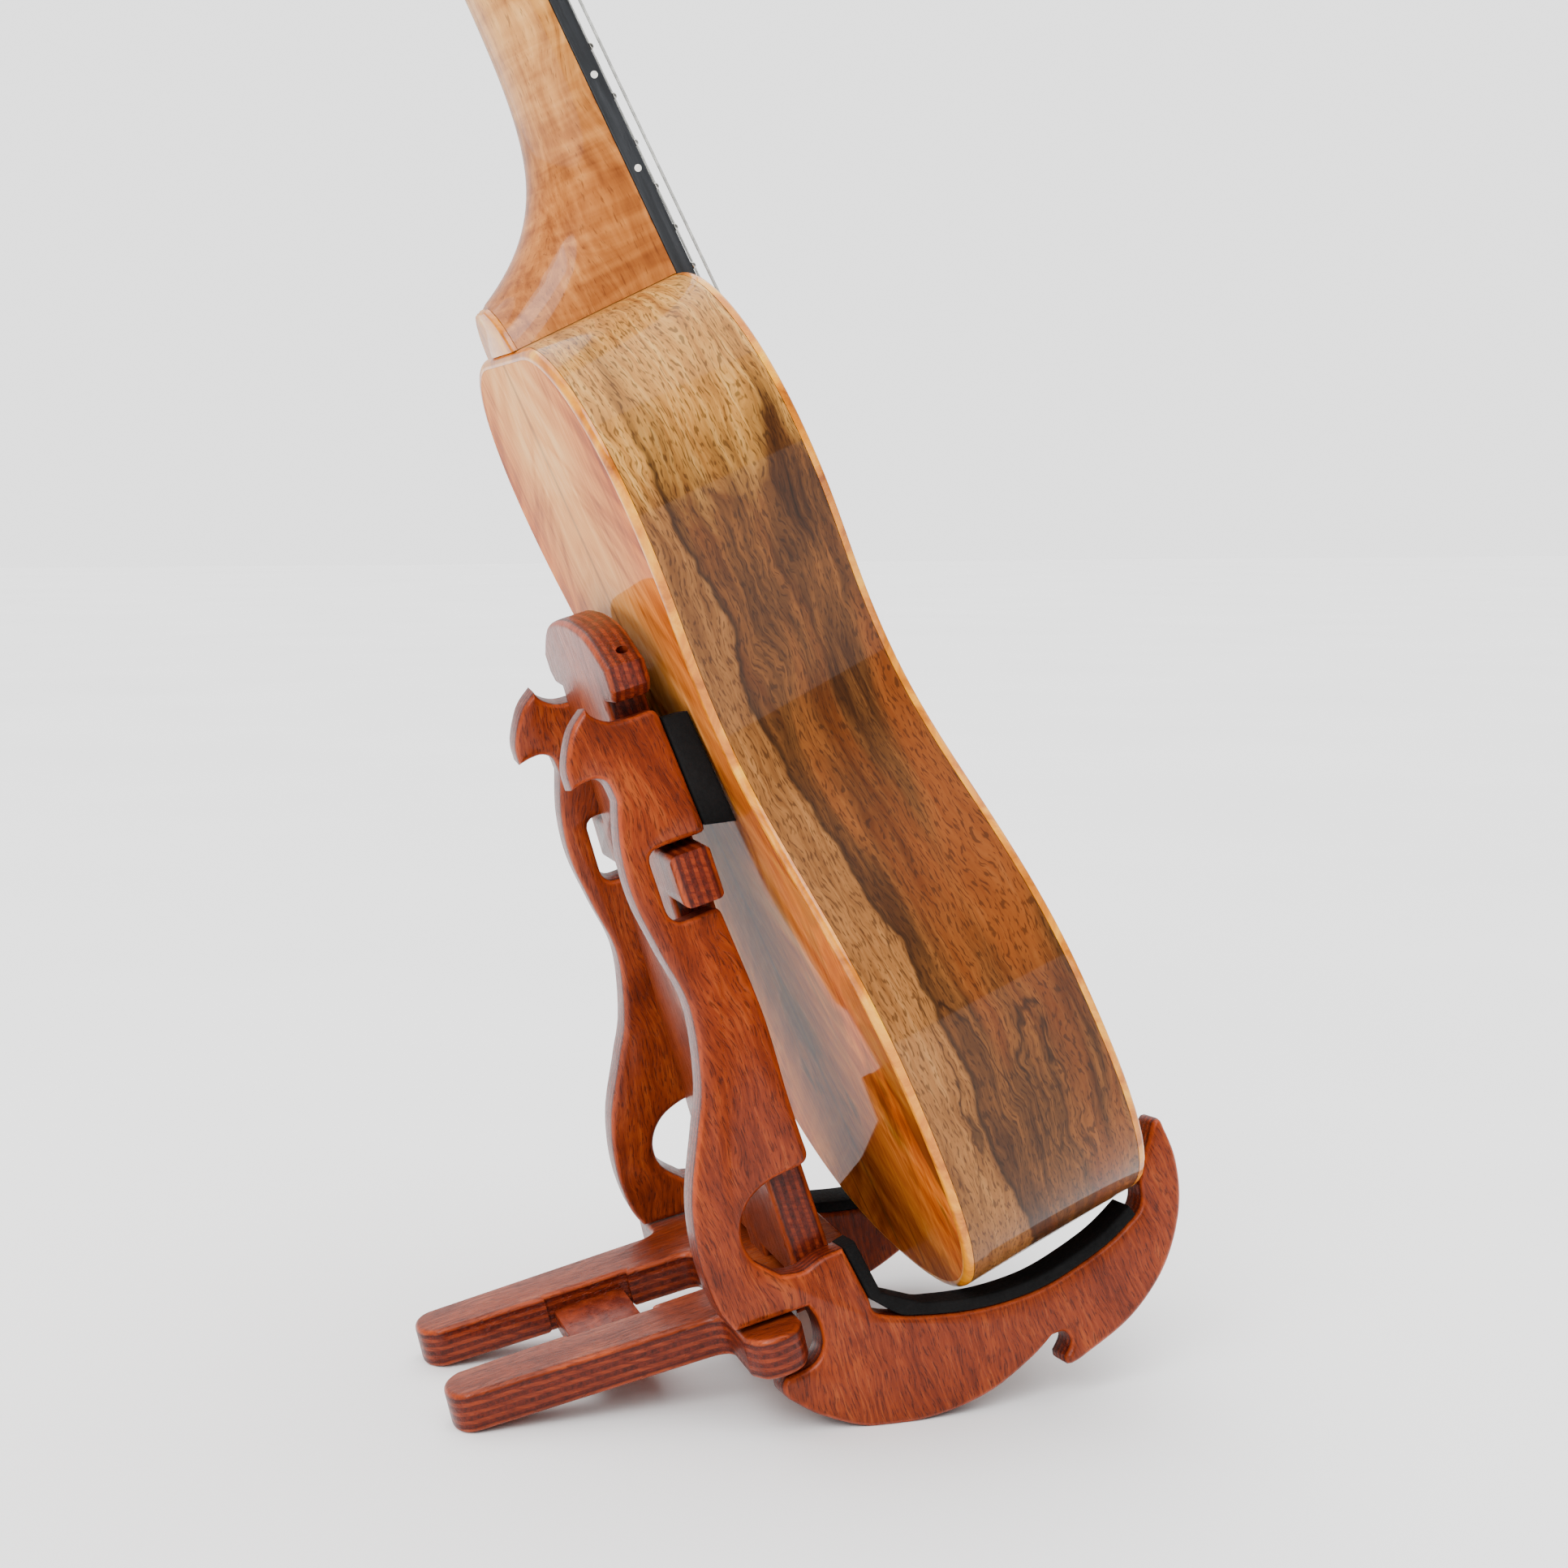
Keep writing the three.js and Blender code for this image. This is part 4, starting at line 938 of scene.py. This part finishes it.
def head_loops(low, high, rounded):
    """Loops of the headstock board, from its back to its face, with both rims rounded."""
    loops = []
    slope = rounded * 0.3
    for drop, level in ((rounded, low), (slope, low + slope), (0, low + rounded),
                        (0, high - rounded), (slope, high - slope), (rounded, high)):
        loop = []
        for n, (w, u) in enumerate(head_line):
            before, after = head_line[n - 1], head_line[(n + 1) % len(head_line)]
            run_w, run_u = after[0] - before[0], after[1] - before[1]
            long = math.hypot(run_w, run_u) or 1
            w, u = w - run_u / long * drop, u + run_w / long * drop
            loop.append(head_foot + head_out * level + LEFT * w + head_up * u)
        loops.append(loop)
    return loops


head = skin_over("headstock_board", head_loops(-HEAD_THICK, -0.0016, ROUND), sharp=30)
mount(head, "ukulele", honey.material, "neck_wood")
overlay_wood = bookmatched(
    "headstock_overlay",
    [(0.34, (96, 56, 26)), (0.46, (140, 88, 46)), (0.56, (172, 116, 66)), (0.70, (204, 152, 96))],
    0.4, (60, 60, 1), 0.4,
)
overlay = skin_over("headstock_overlay", head_loops(-0.0016, 0.0, 0.0007), sharp=30)
mount(overlay, "ukulele", overlay_wood, "koa_top")

# ------------------------------------------------------------------------------- heel cap
# A thin leaf of the same amber as the binding, cut to the outline of the heel and glued
# under it. Its lower rim is rounded over.


def cap_outline(level, by=0.0):
    """Outline of the heel at a depth below the fretboard, from the joint to its nose."""
    half = []
    up = BODY_LONG + GLUE
    while True:
        low = NECK_THICK + HEEL_DROP * math.exp((BODY_LONG - up) / HEEL_FADE)
        if low <= level:
            break
        half.append((board_half(up) * math.sqrt(1 - (level / low) ** (2 / 0.9)), up))
        up += 0.0006
    half = [(max(w - by, 0.0), min(u, BODY_LONG + 0.0133 - by)) for w, u in half]
    nose = half[-1][1] + 0.0004 - by * 0.2
    return half + [(0.0, nose)] + [(-w, u) for w, u in reversed(half)]


cap_rings = [
    [at(-level, w, u) for w, u in cap_outline(NECK_DEEP - CAP, by)]
    for level, by in ((NECK_DEEP - CAP, 0.0), (NECK_DEEP - 0.0006, 0.0001),
                      (NECK_DEEP - 0.0001, 0.0005), (NECK_DEEP, 0.0009))
]
mount(skin_over("heel_cap_leaf", cap_rings, sharp=50), "ukulele", amber.material, "ebony",
      "heel_cap")

# --------------------------------------------------------------- fretboard, frets and dots
# An ebony board glued along the neck, eighteen frets of drawn wire pressed into it, and
# pearl dots let into its face and into its edge.

ebony = Finish("ebony", Roughness=0.46, Specular_IOR_Level=0.45, Coat_Weight=0.12,
               Coat_Roughness=0.25)
ebony_local = ebony.point(*ebony.axes(TAIL, OUT, LEFT, UP))
ebony_lines = ebony.noise(ebony_local, (500, 500, 24), 6, 0.62)
ebony_dots = ebony.spread(ebony.noise(ebony_local, (1800, 1800, 260), 2), 0.6, 0.7)
ebony_colour = ebony.ramp(ebony_lines, [
    (0.34, (16, 17, 20)), (0.52, (30, 33, 38)), (0.72, (52, 54, 58)),
])
ebony.end(ebony_colour, ebony.spread(ebony_lines, 0.3, 0.7, 0.40, 0.56), ebony_dots, 0.00006)


def round_over(node, width, segments=3, least=28):
    """Rounds every sharp edge of a carried-over part, and gives it smooth walls."""
    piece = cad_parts[node]
    if "custom_normal" in piece.data.attributes:
        piece.data.attributes.remove(piece.data.attributes["custom_normal"])
    piece.data.shade_smooth()
    weld = piece.modifiers.new("one skin", "WELD")
    weld.merge_threshold = 0.00002
    flat = piece.modifiers.new("whole faces", "DECIMATE")
    flat.decimate_type = "DISSOLVE"
    flat.angle_limit = math.radians(0.8)
    bevel = piece.modifiers.new("rounded edges", "BEVEL")
    bevel.width = width
    bevel.segments = segments
    bevel.limit_method = "ANGLE"
    bevel.angle_limit = math.radians(least)
    bevel.use_clamp_overlap = False
    bevel.miter_outer = "MITER_ARC"
    normals = piece.modifiers.new("even light", "WEIGHTED_NORMAL")
    normals.keep_sharp = True
    normals.weight = 60
    return piece


cover(round_over("fretboard", 0.0005, 2), ebony.material)

wire = Finish("fret_wire", Metallic=1.0)
scuff = wire.noise(wire.place(), (300, 1600, 300), 4, 0.6)
wire.end(wire.ramp(scuff, [(0.3, (150, 148, 142)), (0.7, (208, 206, 200))]),
         wire.spread(scuff, 0.3, 0.7, 0.16, 0.34))
for n in range(1, 19):
    cover(round_over(f"fret_{n:02d}", 0.0003, 2, 50), wire.material)

pearl = Finish("pearl_dot", Roughness=0.2, Coat_Weight=0.8, Coat_Roughness=0.05)
pearl_cloud = pearl.noise(pearl.place(), (260, 260, 260), 4, 0.6, 1.2)
pearl.end(pearl.ramp(pearl_cloud, [
    (0.3, (206, 204, 196)), (0.5, (238, 236, 228)), (0.7, (250, 240, 236)),
]))


def circle(middle, side, other, radius, steps):
    """Points round a circle, or round an oval where side and other differ in length."""
    turns = [2 * math.pi * k / steps for k in range(steps)]
    return [middle + side * radius * math.cos(t) + other * radius * math.sin(t) for t in turns]


def turned_piece(name, foot, axis, profile, steps=32):
    """A turned piece: profile holds (radius, height) from its foot up the axis."""
    axis = Vector(axis).normalized()
    side = axis.orthogonal().normalized()
    rings = [circle(foot + axis * height, side, axis.cross(side), radius, steps)
             for radius, height in profile]
    return skin_over(name, rings, sharp=35)


BOARD_TOP = GLUE + 0.005
dot_profile = [(0.0, -0.0004), (1.0, -0.0004), (1.0, 0.00004), (0.9, 0.00010), (0.0, 0.00012)]
for n in (5, 7, 10, 12, 15, 17):
    up = NUT_UP - (fret_at(n) + fret_at(n - 1)) / 2
    edge_dot = [(max(r, 0.02) * 0.0010, h) for r, h in dot_profile]
    mount(turned_piece(f"side_dot_{n:02d}", at(GLUE + 0.0027, -board_half(up), up), (0, -1, 0),
                       edge_dot, 20), "ukulele", pearl.material, "bone")
    for k, wide in enumerate((-0.009, 0.009) if n == 12 else (0.0,)):
        face_dot = [(max(r, 0.02) * 0.0026, h) for r, h in dot_profile]
        mount(turned_piece(f"face_dot_{n:02d}_{k + 1}", at(BOARD_TOP, wide, up), OUT, face_dot),
              "ukulele", pearl.material, "bone")

# ------------------------------------------------------------------ nut, saddle and bridge
# Bone nut and saddle, and an ebony tie bridge glued to the soundboard. The strings pass
# over the bone and are tied down behind it.

bone = Finish("polished_bone", Roughness=0.32, Subsurface_Weight=0.08, Subsurface_Scale=0.002,
              Coat_Weight=0.2, Coat_Roughness=0.1)
bone_lines = bone.noise(bone.place(), (180, 900, 180), 4, 0.6)
bone_colour = bone.ramp(bone_lines, [
    (0.3, (214, 204, 178)), (0.55, (236, 229, 210)), (0.75, (246, 241, 226)),
])
bone.end(bone_colour, None, bone_lines, 0.00004)
for node, width in (("nut", 0.0009), ("saddle", 0.0008)):
    cover(round_over(node, width, 3), bone.material)
cover(round_over("bridge", 0.0006, 3), ebony.material)

BRIDGE_UP = NUT_UP - SCALE
BRIDGE_THICK = 0.007
SPREAD_NUT, SPREAD_SADDLE = 0.0046, 0.0066
for k, wide in enumerate((-0.0345, 0.0345)):
    mount(turned_piece(f"bridge_dot_{k + 1}", at(BRIDGE_THICK * 0.72, wide, BRIDGE_UP - 0.005), OUT,
                       [(0.00005, -0.001), (0.0024, -0.001), (0.0024, 0.00025), (0.002, 0.0004),
                        (0.00005, 0.00042)]), "ukulele", pearl.material, "ebony")

# -------------------------------------------------------------------------------- strings
# Four clear nylon strings, each tied to the bridge, drawn over the saddle and the nut and
# wound on its post. The winding is a piece of its own, since it turns with the post.

nylon = Finish("nylon_string", Roughness=0.22, Transmission_Weight=0.25, IOR=1.5)
nylon_bands = nylon.noise(nylon.place(), (400, 400, 400), 3, 0.5)
nylon.end(nylon.ramp(nylon_bands, [(0.3, (176, 176, 172)), (0.7, (226, 226, 220))]))


def tube(name, points, radius, steps=10):
    """A round cord along a line of points."""
    rings = []
    side = None
    for n, point in enumerate(points):
        run = (points[min(n + 1, len(points) - 1)] - points[max(n - 1, 0)]).normalized()
        side = (side - run * side.dot(run) if side else run.orthogonal()).normalized()
        rings.append(circle(point, side, run.cross(side), radius, steps))
    return skin_over(name, rings, sharp=60)


def in_head(out, left, up):
    return head_foot + head_out * out + LEFT * left + head_up * up


TUNER_UP = (0.038, 0.088)
TUNER_OUT = 0.017


def post_place(n):
    """The side of the headstock that a post stands on, 1 for the left, and how far up it."""
    return -1 if n < 3 else 1, TUNER_UP[0] if n in (1, 4) else TUNER_UP[1]


WIND, WIND_UP = 0.0033, 0.008
STRING = (0.00045, 0.00036, 0.00040, 0.00030)
NUT_LEVEL = BOARD_TOP + 0.0026
SADDLE_LEVEL = 0.0115
KNOT_TURNS, KNOT_TALL, KNOT_LONG = 2.0, 0.00184, 0.0046
WINDINGS = 2.6
for n in range(1, 5):
    side, post_up = post_place(n)
    at_nut, at_saddle = (n - 2.5) * 2 * SPREAD_NUT, (n - 2.5) * 2 * SPREAD_SADDLE
    post_side = side * (TUNER_OUT - WIND - STRING[n - 1])
    line = [
        in_head(WIND_UP, post_side, post_up),
        at(NUT_LEVEL, at_nut, NUT_UP + NUT_WIDE - 0.0006), at(NUT_LEVEL, at_nut, NUT_UP + 0.0004),
        at(SADDLE_LEVEL, at_saddle, BRIDGE_UP + 0.0006),
        at(SADDLE_LEVEL, at_saddle, BRIDGE_UP - 0.001),
        at(0.0090, at_saddle, BRIDGE_UP - 0.005),
        at(BRIDGE_THICK + 0.0006, at_saddle, BRIDGE_UP - 0.0085),
        at(BRIDGE_THICK + 0.0006, at_saddle, BRIDGE_UP - 0.0120),
    ]
    mount(tube(f"string_line_{n}", line, STRING[n - 1]), "ukulele", nylon.material, "nylon",
          f"string_{n}")
    # the knot: the tail goes under the tie block, comes back over it and tucks in twice
    knot = []
    for k in range(61):
        turn = 2 * math.pi * KNOT_TURNS * k / 60
        knot.append(at(
            BRIDGE_THICK - 0.0011 + KNOT_TALL * math.cos(turn),
            at_saddle + 0.0011 * (k / 60 - 0.2) + 0.0004 * math.sin(turn * 2),
            BRIDGE_UP - 0.0112 + KNOT_LONG * math.sin(turn),
        ))
    mount(tube(f"string_knot_{n}", knot, STRING[n - 1]), "ukulele", nylon.material, "nylon")
    coil = []
    for k in range(91):
        turn = 2 * math.pi * WINDINGS * k / 90
        radius = WIND + STRING[n - 1] * 0.8
        coil.append(in_head(WIND_UP + 0.0011 - 0.0026 * k / 90, side * TUNER_OUT
                            - side * radius * math.cos(turn), post_up + radius * math.sin(turn)))
    mount(tube(f"string_winding_{n}", coil, STRING[n - 1]), f"tuner_post_{n}", nylon.material,
          "nylon")

# --------------------------------------------------------------------------------- tuners
# Four small geared tuners: a plated case screwed to the back of the headstock, a post that
# comes up through it, a bushing round the post, and a pearl button on the worm shaft.

plated = Finish("tuner_plating", Metallic=1.0)
haze = plated.noise(plated.place(), (220, 220, 220), 5, 0.65)
scratch = plated.noise(plated.place(), (90, 2600, 2600), 3, 0.5)
plated.end(plated.ramp(haze, [(0.3, (172, 172, 174)), (0.7, (206, 206, 208))]),
           plated.spread(haze, 0.3, 0.7, 0.12, 0.26), scratch, 0.00001)
KNOB_UP = 0.0064
CASE_THICK = 0.009
SCREW_UP = (0.0128, -0.0188)
case_out = -HEAD_THICK - GLUE - CASE_THICK / 2
for n in range(1, 5):
    side, post_up = post_place(n)
    cover(round_over(f"tuner_housing_{n}", 0.0011, 3), plated.material)
    cover(round_over(f"tuner_post_{n}", 0.0002, 2, 20), plated.material)
    foot = in_head(0.0, side * TUNER_OUT, post_up)
    bushing = [(0.00355, -0.0006), (0.0062, -0.0006), (0.0062, 0.0006), (0.0056, 0.0012),
               (0.0048, 0.0013), (0.0045, 0.0022), (0.0038, 0.0026), (0.00355, 0.0024)]
    mount(turned_piece(f"tuner_bushing_{n}", foot, head_out, bushing, 40), "ukulele",
          plated.material, "tuner_metal")
    for k, up in enumerate(SCREW_UP):
        spot = in_head(-HEAD_THICK, side * TUNER_OUT, post_up + up)
        tab = [(0.00005, 0.0), (0.0030, 0.0), (0.0030, 0.0008), (0.0026, 0.0011),
               (0.0020, 0.0011), (0.0019, 0.0018), (0.0012, 0.0023), (0.00005, 0.0024)]
        mount(turned_piece(f"tuner_screw_{n}_{k + 1}", spot, -head_out, tab, 24), "ukulele",
              plated.material, "tuner_metal")
    # button: an oval pearl knob on the shaft of the worm
    start = TUNER_OUT - 0.0036
    profile = [(0.0016, start), (0.0016, 0.0345), (0.0032, 0.0350), (0.0034, 0.0365),
               (0.0048, 0.0378), (0.0062, 0.0395), (0.0073, 0.0420), (0.0076, 0.0440),
               (0.0075, 0.0460), (0.0069, 0.0480), (0.0058, 0.0492), (0.0040, 0.0499),
               (0.0015, 0.0500)]
    middle = in_head(case_out, 0.0, post_up - KNOB_UP)
    rings = []
    for radius, height in profile:
        flat = 1.0 if height < 0.0370 else mix(1.0, 0.62, min((height - 0.0370) / 0.003, 1))
        rings.append(circle(middle + LEFT * side * height, head_up, head_out * flat, radius, 40))
    knob = skin_over(f"tuner_knob_{n}", rings, sharp=40)
    mount(knob, f"tuner_button_{n}", pearl.material, "tuner_knob", f"tuner_button_{n}")

# -------------------------------------------------------------------------- floor and light
# The object stands on a pale table under soft studio light, and is seen from the right and
# a little behind. None of this is part of it.

floor_mesh = bpy.data.meshes.new("pale_floor")
reach = 9.0
floor_mesh.from_pydata(
    [(-reach, -reach, 0), (reach, -reach, 0), (reach, reach, 0), (-reach, reach, 0)], [],
    [(0, 1, 2, 3)])
floor = put_in("pale_floor", floor_mesh)
paper = Finish("pale_floor", Roughness=0.75, Specular_IOR_Level=0.2)
paper_grain = paper.noise(paper.place(), (3, 3, 3), 3, 0.5)
paper.end(paper.ramp(paper_grain, [(0.3, (246, 246, 246)), (0.7, (250, 250, 250))]))
cover(floor, paper.material)

# a plain white room: paler overhead and beyond the table than on the near side
world = bpy.data.worlds.new("studio")
bpy.context.scene.world = world
world.use_nodes = True
room = world.node_tree
backdrop = room.nodes["Background"]
way = add_node(room, "TexCoord", {})
beyond = add_node(room, "VectorMath", {0: way, 1: (0.1, 0.75, 0.55)}, 1, operation="DOT_PRODUCT")
glow = add_node(room, "MapRange", {0: beyond, 1: -0.5, 2: 0.8, 3: 0.28, 4: 1.25})
seen = add_node(room, "LightPath", {})
strength = add_node(room, "Mix", {0: seen, 2: glow, 3: 2.3}, data_type="FLOAT")
room.links.new(strength, backdrop.inputs[1])
backdrop.inputs[0].default_value = (1.0, 1.0, 1.0, 1)


def lamp(name, kind, place, aim, **settings):
    """A light at a place, turned towards its aim."""
    light = bpy.data.lights.new(name, kind)
    for setting, value in settings.items():
        setattr(light, setting, value)
    stood = put_in(name, light)
    stood.location = place
    stood.rotation_euler = (Vector(aim) - Vector(place)).to_track_quat("-Z", "Y").to_euler()


# two panels so broad that they light the whole table alike, and a soft box near the instrument
lamp("overhead_panel", "SUN", (0.1, 0.15, 1.0), (0, 0, 0), energy=4.2, angle=math.radians(100))
lamp("near_panel", "SUN", (-0.7, -1.0, 0.9), (0, 0, 0), energy=2.2, angle=math.radians(40))
lamp("key_box", "AREA", (-1.1, -1.3, 1.5), (0, 0, 0.25), shape="RECTANGLE", size=0.7, size_y=0.9,
     energy=12)

camera_data = bpy.data.cameras.new("camera")
camera_data.lens = 56.8
camera_data.sensor_width = 36
camera = put_in("camera", camera_data)
camera.location = (-0.14381, -0.69675, 0.25912)
camera.rotation_euler = (math.radians(83.405), 0, math.radians(-16.734))
bpy.context.scene.camera = camera
